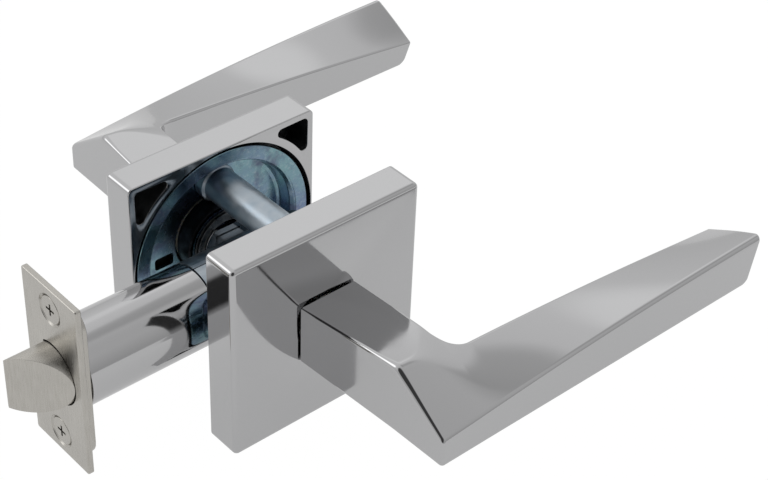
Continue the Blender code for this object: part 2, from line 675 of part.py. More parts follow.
def make_plates(mats):
    """The face plate, the plate behind it and the two short screws that hold them together."""
    outline = rounded_rectangle(PLATE_HEIGHT, PLATE_WIDTH, PLATE_CORNER_R, 2)
    front = along_x(prism("face_plate", outline, 0.0, PLATE_SHEET, mats["nickel"]), OUTER_X)
    back_x = OUTER_X + PLATE_SHEET - PLATE_RECESS + GAP
    outline = rounded_rectangle(BACK_PLATE_HEIGHT + 2 * GAP, BACK_PLATE_WIDTH + 2 * GAP,
                                BACK_PLATE_CORNER_R + GAP, 6)
    recess = along_x(prism("plate_recess", outline, 0.0, OVER, cutter=True), back_x - GAP)
    join(front, recess, "DIFFERENCE")
    outline = rounded_rectangle(BACK_PLATE_HEIGHT, BACK_PLATE_WIDTH, BACK_PLATE_CORNER_R, 6)
    back = along_x(prism("back_plate", outline, 0.0, PLATE_SHEET, mats["nickel"]), back_x)
    behind = back_x + PLATE_SHEET
    hole = prism("bolt_hole", latch_section(LATCH_BOLT_PLAY), -OVER, behind - OUTER_X + OVER, cutter=True)
    along_x(hole, OUTER_X)
    join(front, hole, "DIFFERENCE")
    join(back, hole, "DIFFERENCE")
    for name, edge in (("upper", 1.0), ("lower", -1.0)):
        centre = (0.0, edge * PLATE_SCREW_Z)
        sink = rod(f"{name}_sink", SINK_R + 1.0, OUTER_X - 1.0, OUTER_X + SINK_DEPTH, "X", centre,
                   cutter=True, sides=32, tip=SINK_R - SINK_DEPTH)
        through = rod(f"{name}_plate_hole", PLATE_SCREW_R + GAP, OUTER_X - OVER, behind + OVER, "X", centre,
                      cutter=True, sides=24)
        join(front, sink, "DIFFERENCE")
        join(front, through, "DIFFERENCE")
        join(back, through, "DIFFERENCE")
        head = PLATE_SCREW_R + 2.25
        screw = turned(name + "_plate_screw", [
            (0.0, -0.1), (head - 0.15, -0.1), (head, -0.35), (PLATE_SCREW_R, -0.1 - SINK_DEPTH),
            (PLATE_SCREW_R, -PLATE_SCREW_LENGTH), (0.0, -PLATE_SCREW_LENGTH)], mats["nickel"], steps=32)
        screw.rotation_euler = (0.0, -math.pi / 2.0, 0.0)
        screw.location = (OUTER_X * MM, 0.0, centre[1] * MM)
        cross_recess(screw, (OUTER_X, 0.0, centre[1]), "X", 1.1, 1.9, 0.35)
    return behind


def make_latch_body(start, mats):
    """The chromed tube and the two half cases that hold the hub."""
    inner = TUBE_R - TUBE_SHEET
    tube = turned("latch_tube", ring(inner, TUBE_R, start + GAP, TUBE_END), mats["chrome"], steps=40)
    tube.rotation_euler = (0.0, math.pi / 2.0, 0.0)
    for label, side in (("front", -1.0), ("rear", 1.0)):
        case = rod(f"latch_case_{label}", TUBE_R, TUBE_END + GAP, CASE_END, "X", mat=mats["bright_zinc"],
                   sides=48)
        room = rod(f"case_room_{label}", inner, TUBE_END - OVER, CASE_END - CASE_SHEET, "X", cutter=True,
                   sides=48)
        far = 2.0 * TUBE_R
        for name, edge in (("low", -1.0), ("high", 1.0)):
            slab = box(f"case_room_{label}_{name}", (-2 * far, edge * (CASE_HALF_WIDTH - CASE_SHEET), -far),
                       (far, edge * far, far), cutter=True)
            join(room, slab, "DIFFERENCE")
        join(case, room, "DIFFERENCE")
        for name, near, beyond in (("outside", CASE_HALF_WIDTH, far), ("inside", CASE_SPLIT, -far)):
            slab = box(f"case_{label}_{name}", (-2 * far, side * near, -far), (far, side * beyond, far),
                       cutter=True)
            join(case, slab, "DIFFERENCE")
        hole = rod(f"case_{label}_hub_hole", HUB_R + GAP, 0.0, side * far, "Y", cutter=True, sides=40)
        join(case, hole, "DIFFERENCE")
        join(case, spring_seat(label, side), "UNION")
    return start + GAP


def spring_seat(label, side):
    """The lug inside one half case that the retractor spring rests on, hollowed for the bolt's stem."""
    far = side * (CASE_HALF_WIDTH - CASE_SHEET / 2.0)
    seat = box(f"case_{label}_seat", (SEAT_X, side * CASE_SPLIT, -SEAT_HALF_HEIGHT),
               (SEAT_X + SEAT_SHEET, far, SEAT_HALF_HEIGHT), cutter=True)
    hole = rod(f"case_{label}_seat_hole", SEAT_HOLE_R, SEAT_X - OVER, SEAT_X + SEAT_SHEET + OVER, "X",
               cutter=True, sides=28)
    join(seat, hole, "DIFFERENCE")
    return seat


def make_bolt(start, mats):
    """The sprung bolt: a D section with a slanted nose, a round collar and a headed stem."""
    tip = OUTER_X - LATCH_THROW
    collar = start + 0.2
    collar_end = collar + BOLT_COLLAR
    bolt = along_x(prism("latch_bolt", latch_section(), 0.0, collar - tip + 1.0, mats["nickel"]), tip)
    nose = LATCH_BOLT_BACK - LATCH_BOLT_NOSE
    slope = math.atan2(LATCH_BOLT_R + nose, LATCH_THROW)
    block = 2.0 * LATCH_BOLT_R + 2.0 * OVER
    slant = box("bolt_slant", (-block, -block, -block), (0.0, 0.0, block), cutter=True)
    slant.data.transform(Matrix.Translation(Vector((-block / 2.0, -block / 6.0, 0.0)) * MM))
    slant.location = Vector((tip, nose, 0.0)) * MM
    slant.rotation_euler = (0.0, 0.0, slope - math.pi / 2.0)
    join(bolt, slant, "DIFFERENCE")
    tail = along_x(turned("bolt_tail", [
        (0.0, STEM_HEAD_FAR), (STEM_HEAD_R, STEM_HEAD_FAR), (STEM_HEAD_R, STEM_HEAD_NEAR),
        (STEM_R, STEM_HEAD_NEAR), (STEM_R, collar_end), (BOLT_COLLAR_R, collar_end),
        (BOLT_COLLAR_R, collar), (0.0, collar)], cutter=True, steps=32))
    join(bolt, tail, "UNION")
    spring = coil("bolt_spring", 6.0, 1.1, collar_end + 0.9, FORK_BACK - 0.9, 6.5, mats["steel"])
    return bolt, spring


def make_retractor(mats):
    """The fork that the hub's wings pull: a block on the bolt's stem and four straps to two tabs."""
    width, height = FORK_HALF_WIDTH, FORK_HALF_HEIGHT
    fork = box("retractor", (FORK_BACK, -width, -height), (FORK_FRONT, width, height), mats["zinc"])
    stem = rod("retractor_bore", STEM_R + GAP, FORK_BACK - OVER, FORK_FRONT + OVER, "X", cutter=True,
               sides=28)
    join(fork, stem, "DIFFERENCE")
    for level, edge in (("upper", 1.0), ("lower", -1.0)):
        for name, hand in (("front", -1.0), ("rear", 1.0)):
            strap = box(f"strap_{level}_{name}", (FORK_FRONT - 0.4, hand * STRAP_NEAR, edge * STRAP_LOW),
                        (STRAP_END, hand * width, edge * height), cutter=True)
            join(fork, strap, "UNION")
        tab = box(f"tab_{level}", (TAB_START, -STRAP_NEAR - 0.4, edge * (STRAP_LOW + 0.1)),
                  (TAB_END, STRAP_NEAR + 0.4, edge * (height - 0.1)), cutter=True)
        join(fork, tab, "UNION")
    coil("retractor_spring", 5.9, 1.0, FORK_FRONT + 0.9, SEAT_X - 0.9, 6.0, mats["steel"])
    return fork


def make_hub(mats):
    """The latch hub: a square-bored drum with two wings, in the middle of the case."""
    hub = rod("latch_hub", HUB_R, -HUB_HALF, HUB_HALF, "Y", mat=mats["zinc"], sides=40)
    outline = [(-HUB_WING_TIP_R, 0.0), (HUB_WING_TIP_R, 0.0)]
    outline += arc((0.0, HUB_WING_R), HUB_WING_TIP_R, 0, 180, 6)
    for level, turn in (("upper", -HUB_LEAN), ("lower", 180.0 + HUB_LEAN)):
        wing = prism(f"wing_{level}", outline, -HUB_WING_HALF, HUB_WING_HALF, cutter=True)
        wing.rotation_euler = (math.pi / 2.0, math.radians(turn), 0.0)
        join(hub, wing, "UNION")
    square = box("hub_square", (-SOCKET_HALF, -HUB_HALF - OVER, -SOCKET_HALF),
                 (SOCKET_HALF, HUB_HALF + OVER, SOCKET_HALF), cutter=True)
    join(hub, square, "DIFFERENCE")
    return hub


def make_latch(mats):
    """The whole tubular latch, with its moving pieces on their own empties."""
    start = make_latch_body(make_plates(mats), mats)
    bolt, bolt_spring = make_bolt(start, mats)
    fork = make_retractor(mats)
    hub = make_hub(mats)
    hang(axis_empty("hub_axis", (0.0, 0.0, 0.0)), hub)
    retractor = axis_empty("retractor_guide", (-42.0, 0.0, 0.0))
    hang(retractor, fork, bolt_spring)
    hang(axis_empty("bolt_guide", (OUTER_X, 0.0, 0.0)), bolt)


def build():
    """Make every piece of the set."""
    mats = {
        "chrome": new_material("polished_chrome", (0.55, 0.55, 0.56), 0.06, 1.0),
        "nickel": new_material("satin_nickel", (0.42, 0.40, 0.37), 0.35, 1.0),
        "zinc": new_material("blue_zinc", (0.16, 0.24, 0.28), 0.3, 1.0),
        "bright_zinc": new_material("bright_zinc", (0.50, 0.54, 0.58), 0.3, 1.0),
        "steel": new_material("spring_steel", (0.30, 0.30, 0.31), 0.35, 1.0),
        "black": new_material("black_steel", (0.02, 0.02, 0.022), 0.45, 0.6),
        "nylon": new_material("white_nylon", (0.62, 0.61, 0.56), 0.5, 0.0),
    }
    make_half("front", -1.0, mats)
    make_half("rear", 1.0, mats)
    make_fixings(mats)
    make_spindle(mats)
    make_latch(mats)


clear_scene()
PARTS = new_collection(COLLECTION)
CUTTERS = new_collection("cutters")
build()
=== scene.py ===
"""A square-rose passage lever set: two chromed levers, their spring packs and a tubular latch.

The CAD frame is loaded first. Every piece that shows is then skinned again with numpy surfaces in
the same place and to the same sizes, in millimetres, and dressed in its real finish. The small
screws, the cam plates and the latch's works inside its tube keep their CAD shape and take a finish.
"""

import logging
import math
from dataclasses import dataclass
from dataclasses import field
from enum import Enum

import bmesh
import bpy
import numpy as np
from mathutils import Matrix
from mathutils import Vector


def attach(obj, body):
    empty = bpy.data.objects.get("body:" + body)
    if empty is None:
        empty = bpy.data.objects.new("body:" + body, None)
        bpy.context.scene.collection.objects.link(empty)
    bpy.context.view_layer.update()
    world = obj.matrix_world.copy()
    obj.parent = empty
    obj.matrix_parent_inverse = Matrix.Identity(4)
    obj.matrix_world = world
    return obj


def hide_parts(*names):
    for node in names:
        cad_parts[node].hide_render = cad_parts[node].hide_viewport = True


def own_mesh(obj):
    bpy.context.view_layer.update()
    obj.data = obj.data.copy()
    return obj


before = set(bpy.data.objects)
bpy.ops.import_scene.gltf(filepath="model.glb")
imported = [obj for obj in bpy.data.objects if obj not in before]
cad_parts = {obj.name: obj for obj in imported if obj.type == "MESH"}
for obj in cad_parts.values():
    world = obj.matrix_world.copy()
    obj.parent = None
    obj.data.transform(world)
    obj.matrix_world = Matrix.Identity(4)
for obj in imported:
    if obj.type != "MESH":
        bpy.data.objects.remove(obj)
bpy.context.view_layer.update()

LOG = logging.getLogger("door_lever_set")
MM = 0.001
TAU = 2.0 * math.pi
CHORDS_PER_TURN = 48
WHITE = (1.0, 1.0, 1.0, 1.0)


class Side(Enum):
    """The two halves of the set; the value is the sign of Y on that half."""

    FRONT = -1.0
    REAR = 1.0

    @property
    def label(self) -> str:
        """The word that the half's CAD nodes start with."""
        return self.name.lower()


class Axis(Enum):
    """The axis of a turned piece; the value gives the world axes of its (across, up, along)."""

    X = (1, 2, 0)
    Y = (0, 2, 1)
    Z = (0, 1, 2)


# ---- surfaces ---------------------------------------------------------------------------------
def unit(vectors: np.ndarray) -> np.ndarray:
    """Vectors divided by their lengths along the last axis."""
    return vectors / np.maximum(np.linalg.norm(vectors, axis=-1, keepdims=True), 1e-12)


def smoothstep(low: float, high: float, value: np.ndarray) -> np.ndarray:
    """0 below low, 1 above high and t * t * (3 - 2 t) between them."""
    share = np.clip((value - low) / (high - low), 0.0, 1.0)
    return share * share * (3.0 - 2.0 * share)


def fillet(corners: np.ndarray, radii: np.ndarray | float, steps: int = 4, guard: float = 0.06) -> np.ndarray:
    """Round every corner of closed polygons, all at once.

    A corner of angle a gets an arc of radius r that touches its sides at r / tan(a / 2) from it,
    about a centre r / sin(a / 2) along the bisector. The arc is the spherical blend of the two
    radii to the touching points. One guard point follows each end, so flat faces stay flat. An arc
    takes up to 44 % of the shorter side, and its guard point up to 4 % more.

    Args:
        corners: points of shape (..., n, d), in mm.
        radii: one radius for all corners or one for each, in mm.
        steps: number of chords in an arc.
        guard: distance of the guard points past the touching points, in mm.

    Returns:
        Points of shape (..., n, steps + 3, d).
    """
    before = np.roll(corners, 1, axis=-2) - corners
    after = np.roll(corners, -1, axis=-2) - corners
    shorter = np.minimum(np.linalg.norm(before, axis=-1), np.linalg.norm(after, axis=-1))
    before, after = unit(before), unit(after)
    cosine = np.clip((before * after).sum(-1), -1.0 + 1e-7, 1.0 - 1e-7)
    half = np.arccos(cosine) / 2.0
    radius = np.minimum(radii, 0.44 * shorter * np.tan(half))
    touch = (radius / np.tan(half))[..., None]
    past = touch + np.minimum(guard, 0.04 * shorter)[..., None]
    middle = corners + unit(before + after) * (radius / np.sin(half))[..., None]
    turn = (math.pi - 2.0 * half)[..., None, None]
    share = np.linspace(0.0, 1.0, steps + 1)[:, None]
    first = (corners + before * touch - middle)[..., None, :]
    last = (corners + after * touch - middle)[..., None, :]
    arc = (np.sin((1.0 - share) * turn) * first + np.sin(share * turn) * last) / np.sin(turn)
    arc = arc + middle[..., None, :]
    ahead = (corners + before * past)[..., None, :]
    behind = (corners + after * past)[..., None, :]
    return np.concatenate([ahead, arc, behind], axis=-2)


def outline(corners: list[tuple[float, float]], radii: np.ndarray | float, steps: int = 4) -> np.ndarray:
    """A closed outline with rounded corners, as points of shape (n, 2), in mm."""
    return fillet(np.array(corners, float), radii, steps, 0.2).reshape(-1, 2)


def rectangle(half_across: float, half_up: float, corner: float, steps: int) -> np.ndarray:
    """A rectangle about the origin with rounded corners, as outline points in mm."""
    corners = [(-half_across, -half_up), (half_across, -half_up), (half_across, half_up),
               (-half_across, half_up)]
    return outline(corners, corner, steps)


def axle_profile(corners: list[tuple[float, float]], radii: np.ndarray | float, steps: int = 4) -> np.ndarray:
    """A rounded (radius, height) profile whose first and last corners lie on the axis, left open."""
    return fillet(np.array(corners, float), radii, steps)[1:-1].reshape(-1, 2)


@dataclass
class Skin:
    """A closed surface: points in mm, quads between the lines of a grid and fans to its poles."""

    points: np.ndarray
    quads: np.ndarray
    fans: np.ndarray = field(default_factory=lambda: np.zeros((0, 3), int))

    def volume(self) -> float:
        """The sum of the signed tetrahedra from the origin to each triangle."""
        tris = np.concatenate([self.quads[:, [0, 1, 2]], self.quads[:, [0, 2, 3]], self.fans])
        a, b, c = (self.points[tris[:, k]] for k in range(3))
        return float((a * np.cross(b, c)).sum() / 6.0)

    def outward(self) -> "Skin":
        """The same surface with all of its faces turned outwards."""
        if self.volume() < 0.0:
            return Skin(self.points, self.quads[:, ::-1], self.fans[:, ::-1])
        return self


def grid_skin(grid: np.ndarray, ring: bool = False) -> Skin:
    """Close a grid of points into a skin; its columns wrap round.

    Args:
        grid: points of shape (rows, columns, 3), in mm.
        ring: True joins the last row to the first; False closes both with a pole at their middle.

    Returns:
        The skin, faces outwards.
    """
    rows, columns = grid.shape[:2]
    index = np.arange(rows * columns).reshape(rows, columns)
    right = np.roll(index, -1, axis=1)
    if ring:
        quads = np.stack([index, right, np.roll(right, -1, axis=0), np.roll(index, -1, axis=0)], axis=-1)
        return Skin(grid.reshape(-1, 3), quads.reshape(-1, 4)).outward()
    quads = np.stack([index[:-1], right[:-1], right[1:], index[1:]], axis=-1).reshape(-1, 4)
    poles = np.stack([grid[0].mean(0), grid[-1].mean(0)])
    top = np.full(columns, rows * columns)
    start = np.stack([right[0], index[0], top], axis=-1)
    end = np.stack([index[-1], right[-1], top + 1], axis=-1)
    points = np.concatenate([grid.reshape(-1, 3), poles])
    return Skin(points, quads, np.concatenate([start, end])).outward()


def lay(across: np.ndarray, up: np.ndarray, along: np.ndarray, axis: Axis) -> np.ndarray:
    """Lay local values on the world: along runs on the axis, across and up on the other two in order."""
    result = np.stack(np.broadcast_arrays(across, up, along), axis=-1)
    placed = np.empty_like(result)
    placed[..., list(axis.value)] = result
    return placed


def lathe(profile: np.ndarray, axis: Axis, sign: float = 1.0, steps: int = 96,
          centre: tuple[float, float] = (0.0, 0.0), ring: bool = False) -> Skin:
    """Turn a profile about an axis: (r cos t, r sin t, sign * h) for t right round.

    Args:
        profile: (radius, height) points, in mm.
        axis: the axis it is turned about.
        sign: +1 or -1, the way the heights run along the axis.
        steps: number of chords round the axis.
        centre: where the axis stands on the other two axes, in their order, in mm.
        ring: True for a closed profile off the axis, False for one with its ends on the axis.

    Returns:
        The turned skin.
    """
    angle = np.arange(steps) * TAU / steps
    across = centre[0] + profile[:, :1] * np.cos(angle)
    up = centre[1] + profile[:, :1] * np.sin(angle)
    along = sign * profile[:, 1:] + 0.0 * angle
    return grid_skin(lay(across, up, along, axis), ring)


def pin(radius: float, low: float, high: float, axis: Axis, steps: int,
        centre: tuple[float, float] = (0.0, 0.0), rim: float = 0.1, rim_steps: int = 1) -> Skin:
    """A plain round pin from low to high along an axis, with slightly rounded rims, for drilling."""
    corners = [(0.0, low), (radius, low), (radius, high), (0.0, high)]
    return lathe(axle_profile(corners, rim, rim_steps), axis, 1.0, steps, centre)


def rim_rows(radius: float, steps: int) -> tuple[np.ndarray, np.ndarray]:
    """Rows of a quarter-round rim: how far each is drawn in and how far from the end plane it stands.

    At rim angle b the outline is drawn in by r (1 - cos b) and stands r (1 - sin b) from the plane.
    One more row lies 0.06 mm before the rim and one a little inside it, so both flats stay flat.
    """
    if radius <= 0.0:
        return np.zeros(1), np.zeros(1)
    angle = np.linspace(0.0, math.pi / 2.0, steps + 1)
    draw = np.concatenate([[0.0], radius * (1.0 - np.cos(angle)), [radius * 1.12]])
    back = np.concatenate([[radius + 0.06], radius * (1.0 - np.sin(angle)), [0.0]])
    return draw, back


def slab(edge: np.ndarray, low: float, high: float, axis: Axis, round_low: float = 0.0,
         round_high: float = 0.0, steps: int = 4) -> Skin:
    """Carry a closed outline along an axis, with both of its rims rounded.

    The outline is drawn in along the bisectors of its sides by the amounts that rim_rows gives.

    Args:
        edge: outline points of shape (n, 2), on the two axes across the given one, in mm.
        low: lower end along the axis, in mm.
        high: upper end along the axis, in mm.
        axis: the axis that it is carried along.
        round_low: radius of the rim at the lower end, in mm.
        round_high: radius of the rim at the upper end, in mm.
        steps: number of chords in each rim.

    Returns:
        The solid's skin.
    """
    ahead = unit(np.roll(edge, -1, axis=0) - edge)
    bisector = unit(ahead + np.roll(ahead, 1, axis=0))
    area = (edge[:, 0] * np.roll(edge[:, 1], -1) - np.roll(edge[:, 0], -1) * edge[:, 1]).sum()
    normal = np.stack([bisector[:, 1], -bisector[:, 0]], axis=-1) * np.sign(area)
    draw_low, back_low = rim_rows(round_low, steps)
    draw_high, back_high = rim_rows(round_high, steps)
    draw = np.concatenate([draw_low[::-1], draw_high])[:, None, None]
    along = np.concatenate([(low + back_low)[::-1], high - back_high])[:, None]
    flat = edge[None] - normal[None] * draw
    return grid_skin(lay(flat[..., 0], flat[..., 1], along, axis))


def block(low: tuple[float, float, float], high: tuple[float, float, float], rim: float = 0.0) -> Skin:
    """A block between two corners, mm, with its rims along Y rounded, or sharp where rim is 0."""
    corners = [(low[0], low[2]), (high[0], low[2]), (high[0], high[2]), (low[0], high[2])]
    if rim <= 0.0:
        flat = np.array(corners, float)
        ends = np.array([low[1], high[1]])[:, None]
        return grid_skin(lay(flat[None, :, 0], flat[None, :, 1], ends, Axis.Y))
    return slab(outline(corners, rim, 3), low[1], high[1], Axis.Y, rim * 0.8, rim * 0.8, 3)


def coil(mean: float, wire: float, start: float, end: float, turns: float, axis: Axis, sign: float = 1.0,
         sides: int = 14) -> Skin:
    """A round wire wound on a helix: at t from 0 to 1, angle 2 pi turns t and height start + (end - start) t.

    The wire's section turns in the plane of the outward radius and the coil's axis, which is square to
    the path to within the helix angle.

    Args:
        mean: radius of the helix to the wire's middle, in mm.
        wire: diameter of the wire, in mm.
        start: height of the first turn's middle, in mm.
        end: height of the last turn's middle, in mm.
        turns: number of turns.
        axis: the coil's axis.
        sign: the way the heights run along the axis.
        sides: number of chords round the wire.

    Returns:
        The wire's skin.
    """
    share = np.linspace(0.0, 1.0, int(turns * CHORDS_PER_TURN) + 1)
    angle = TAU * turns * share
    height = start + (end - start) * share
    around = np.arange(sides) * TAU / sides
    radius = mean + wire / 2.0 * np.cos(around)[None, :]
    across = radius * np.cos(angle)[:, None]
    up = radius * np.sin(angle)[:, None]
    along = sign * (height[:, None] + wire / 2.0 * np.sin(around)[None, :])
    return grid_skin(lay(across, up, along, axis))


# ---- pieces -----------------------------------------------------------------------------------
def make_object(name: str, *skins: Skin) -> bpy.types.Object:
    """Put one or more skins into a smooth mesh object at the origin, in metres.

    Args:
        name: the object's name.
        skins: closed surfaces, in mm.

    Returns:
        The object, linked to the scene.
    """
    points: list[np.ndarray] = []
    faces: list[list[int]] = []
    offset = 0
    for skin in skins:
        points.append(skin.points)
        faces += (skin.quads + offset).tolist()
        faces += (skin.fans + offset).tolist()
        offset += len(skin.points)
    mesh = bpy.data.meshes.new(name)
    mesh.from_pydata((np.concatenate(points) * MM).tolist(), [], faces)
    mesh.shade_smooth()
    mesh.update()
    piece = bpy.data.objects.new(name, mesh)
    bpy.context.scene.collection.objects.link(piece)
    return piece


def apply_modifiers(piece: bpy.types.Object) -> None:
    """Bake every modifier of a piece into its mesh."""
    bpy.context.view_layer.update()
    evaluated = piece.evaluated_get(bpy.context.evaluated_depsgraph_get())
    mesh = bpy.data.meshes.new_from_object(evaluated)
    old = piece.data
    piece.modifiers.clear()
    piece.data = mesh
    mesh.name = piece.name
    bpy.data.meshes.remove(old)


def cut(piece: bpy.types.Object, *tools: Skin, joins: bool = False, crease: float = 30.0) -> bpy.types.Object:
    """Cut skins out of a piece, or join them to it, and bake the result.

    Args:
        piece: the piece, which is changed.
        tools: closed surfaces, in mm.
        joins: True adds the tools instead.
        crease: angle past which an edge is left sharp, in degrees.

    Returns:
        The piece.
    """
    cutters = [make_object(f"{piece.name}_tool_{number}", tool) for number, tool in enumerate(tools)]
    for cutter in cutters:
        modifier = piece.modifiers.new(cutter.name, "BOOLEAN")
        modifier.operation = "UNION" if joins else "DIFFERENCE"
        modifier.solver = "EXACT"
        modifier.object = cutter
    apply_modifiers(piece)
    for cutter in cutters:
        bpy.data.objects.remove(cutter)
    weld(piece)
    piece.data.shade_smooth()
    piece.data.set_sharp_from_angle(angle=math.radians(crease))
    return piece


def weld(piece: bpy.types.Object, reach: float = 0.004) -> None:
    """Merge points closer than reach, mm, and dissolve the slivers that a cut leaves."""
    shell = bmesh.new()
    shell.from_mesh(piece.data)
    bmesh.ops.remove_doubles(shell, verts=shell.verts, dist=reach * MM)
    bmesh.ops.dissolve_degenerate(shell, edges=shell.edges, dist=reach * MM)
    shell.to_mesh(piece.data)
    shell.free()
    piece.data.update()


def break_edges(piece: bpy.types.Object, width: float, segments: int = 2, angle: float = 35.0) -> None:
    """Round a piece's remaining sharp edges by width, mm, and bake it smooth."""
    modifier = piece.modifiers.new("broken_edges", "BEVEL")
    modifier.width = width * MM
    modifier.segments = segments
    modifier.limit_method = "ANGLE"
    modifier.angle_limit = math.radians(angle)
    apply_modifiers(piece)
    piece.data.shade_smooth()
    piece.data.set_sharp_from_angle(angle=math.radians(angle))


def place(piece: bpy.types.Object, finish: bpy.types.Material, body: str, slot: str, *nodes: str) -> None:
    """Dress a finished piece, hang it on its body and hide the CAD nodes that it stands for.

    Args:
        piece: the finished mesh object.
        finish: its material.
        body: the CAD body that it rides on.
        slot: the name of a material slot; not used.
        nodes: the CAD nodes that it replaces.
    """
    if not piece.data.materials:
        piece.data.materials.append(finish)
    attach(piece, body)
    if nodes:
        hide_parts(*nodes)
    LOG.info("%s: %d faces on %s in %s", piece.name, len(piece.data.polygons), body, finish.name)


def dress_node(name: str, finish: bpy.types.Material) -> None:
    """Give a CAD node that stays as it is its real finish."""
    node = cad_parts[name]
    for holder in node.material_slots:
        holder.material = finish
    LOG.info("%s: kept from the frame, in %s", name, finish.name)


# ---- finishes ---------------------------------------------------------------------------------
def linear(colour: str) -> tuple[float, float, float, float]:
    """An sRGB hex colour as linear red, green, blue and alpha."""
    parts = np.array([int(colour[k:k + 2], 16) for k in (1, 3, 5)]) / 255.0
    value = np.where(parts <= 0.04045, parts / 12.92, ((parts + 0.055) / 1.055) ** 2.4)
    return (float(value[0]), float(value[1]), float(value[2]), 1.0)


def per_mm(size: float) -> float:
    """The texture scale that repeats once in size mm, as Object coordinates are in metres."""
    return 1.0 / (size * MM)


def add_node(tree: bpy.types.NodeTree, kind: str, values: dict | None = None, links: dict | None = None,
             **settings: object) -> bpy.types.Node:
    """Add one node with its settings, constants and links.

    Args:
        tree: the node tree.
        kind: Blender's name for the node type.
        values: constants by input name or number.
        links: output sockets by input name or number.
        settings: attributes of the node.

    Returns:
        The node.
    """
    node = tree.nodes.new(kind)
    for name, setting in settings.items():
        setattr(node, name, setting)
    for key, value in (values or {}).items():
        node.inputs[key].default_value = value
    for key, socket in (links or {}).items():
        tree.links.new(socket, node.inputs[key])
    return node


@dataclass(frozen=True)
class Finish:
    """What every finish has: its name, its shader's own constants and a fresh material."""

    name: str
    colour: str
    metallic: float
    roughness: float

    def start(self) -> tuple[bpy.types.Material, bpy.types.NodeTree, bpy.types.Node, bpy.types.NodeSocket]:
        """Make the material.

        Returns:
            The material, its tree, its shader and the output that gives places on the object.
        """
        material = bpy.data.materials.new(self.name)
        material.use_nodes = True
        tree = material.node_tree
        shader = tree.nodes["Principled BSDF"]
        shader.inputs["Base Color"].default_value = linear(self.colour)
        shader.inputs["Metallic"].default_value = self.metallic
        shader.inputs["Roughness"].default_value = self.roughness
        material.diffuse_color = linear(self.colour)
        return material, tree, shader, add_node(tree, "ShaderNodeTexCoord").outputs["Object"]

    def noise(self, tree: bpy.types.NodeTree, coordinates: bpy.types.NodeSocket, size: float,
              detail: float = 2.0, stretch: tuple[float, float, float] = (1.0, 1.0, 1.0)) -> bpy.types.Node:
        """Noise of the given size in mm, squeezed along each axis by stretch."""
        if stretch != (1.0, 1.0, 1.0):
            mapping = add_node(tree, "ShaderNodeMapping", {"Scale": stretch}, {"Vector": coordinates})
            coordinates = mapping.outputs["Vector"]
        values = {"Scale": per_mm(size), "Detail": detail, "Roughness": 0.55}
        return add_node(tree, "ShaderNodeTexNoise", values, {"Vector": coordinates})

    def spread(self, tree: bpy.types.NodeTree, source: bpy.types.NodeSocket, low: float, high: float,
               start: float = 0.3, end: float = 0.7) -> bpy.types.NodeSocket:
        """Map a pattern's start..end to low..high."""
        values = {"From Min": start, "From Max": end, "To Min": low, "To Max": high}
        return add_node(tree, "ShaderNodeMapRange", values, {"Value": source}).outputs["Result"]

    def blend(self, tree: bpy.types.NodeTree, share: bpy.types.NodeSocket, first: object,
              second: object) -> bpy.types.NodeSocket:
        """Mix two colours, each a hex string or an output socket, by a share."""
        mix = add_node(tree, "ShaderNodeMix", data_type="RGBA")
        tree.links.new(share, mix.inputs[0])
        for socket, colour in ((mix.inputs[6], first), (mix.inputs[7], second)):
            if isinstance(colour, str):
                socket.default_value = linear(colour)
            else:
                tree.links.new(colour, socket)
        return mix.outputs[2]

    def relief(self, tree: bpy.types.NodeTree, shader: bpy.types.Node, height: bpy.types.NodeSocket,
               depth: float, strength: float) -> None:
        """Bump the shader's normal by a height pattern; depth is in mm."""
        values = {"Strength": strength, "Distance": depth * MM}
        bump = add_node(tree, "ShaderNodeBump", values, {"Height": height})
        tree.links.new(bump.outputs["Normal"], shader.inputs["Normal"])


@dataclass(frozen=True)
class PolishedChrome(Finish):
    """Decorative chromium plate on a buffed zinc casting.

    A cool, clear mirror that darkens what it reflects. The buffing leaves the reflections very
    slightly wavy over a few centimetres, and handling leaves faint hazier patches.
    """

    name: str = "polished_chrome_plate"
    colour: str = "#bebebf"
    metallic: float = 1.0
    roughness: float = 0.07
    wave: float = 26.0
    haze: float = 9.0

    def build(self) -> bpy.types.Material:
        """Haze of 9 mm patches on the roughness, and a 26 mm wave a few microns high."""
        material, tree, shader, place_of = self.start()
        patches = self.noise(tree, place_of, self.haze, 4.0).outputs["Fac"]
        tree.links.new(self.spread(tree, patches, 0.05, 0.11), shader.inputs["Roughness"])
        wave = self.noise(tree, place_of, self.wave, 0.0).outputs["Fac"]
        self.relief(tree, shader, wave, 0.12, 0.35)
        return material


@dataclass(frozen=True)
class AsCastZinc(Finish):
    """The unpolished inside of a die casting, flash-plated with the rest.

    A dark, uneven grey with a fine pebble from the mould.
    """

    name: str = "as_cast_zinc_alloy"
    colour: str = "#56585a"
    metallic: float = 0.9
    roughness: float = 0.42
    patch: float = 7.0
    pebble: float = 1.6

    def build(self) -> bpy.types.Material:
        """Patches of 7 mm darken the grey, and a 1.6 mm pebble roughens it."""
        material, tree, shader, place_of = self.start()
        patches = self.noise(tree, place_of, self.patch, 3.0).outputs["Fac"]
        colour = self.blend(tree, self.spread(tree, patches, 0.0, 1.0), "#2a2b2d", "#77797b")
        tree.links.new(colour, shader.inputs["Base Color"])
        pebble = self.noise(tree, place_of, self.pebble, 3.0).outputs["Fac"]
        tree.links.new(self.spread(tree, pebble, 0.3, 0.55), shader.inputs["Roughness"])
        self.relief(tree, shader, pebble, 0.12, 0.5)
        return material


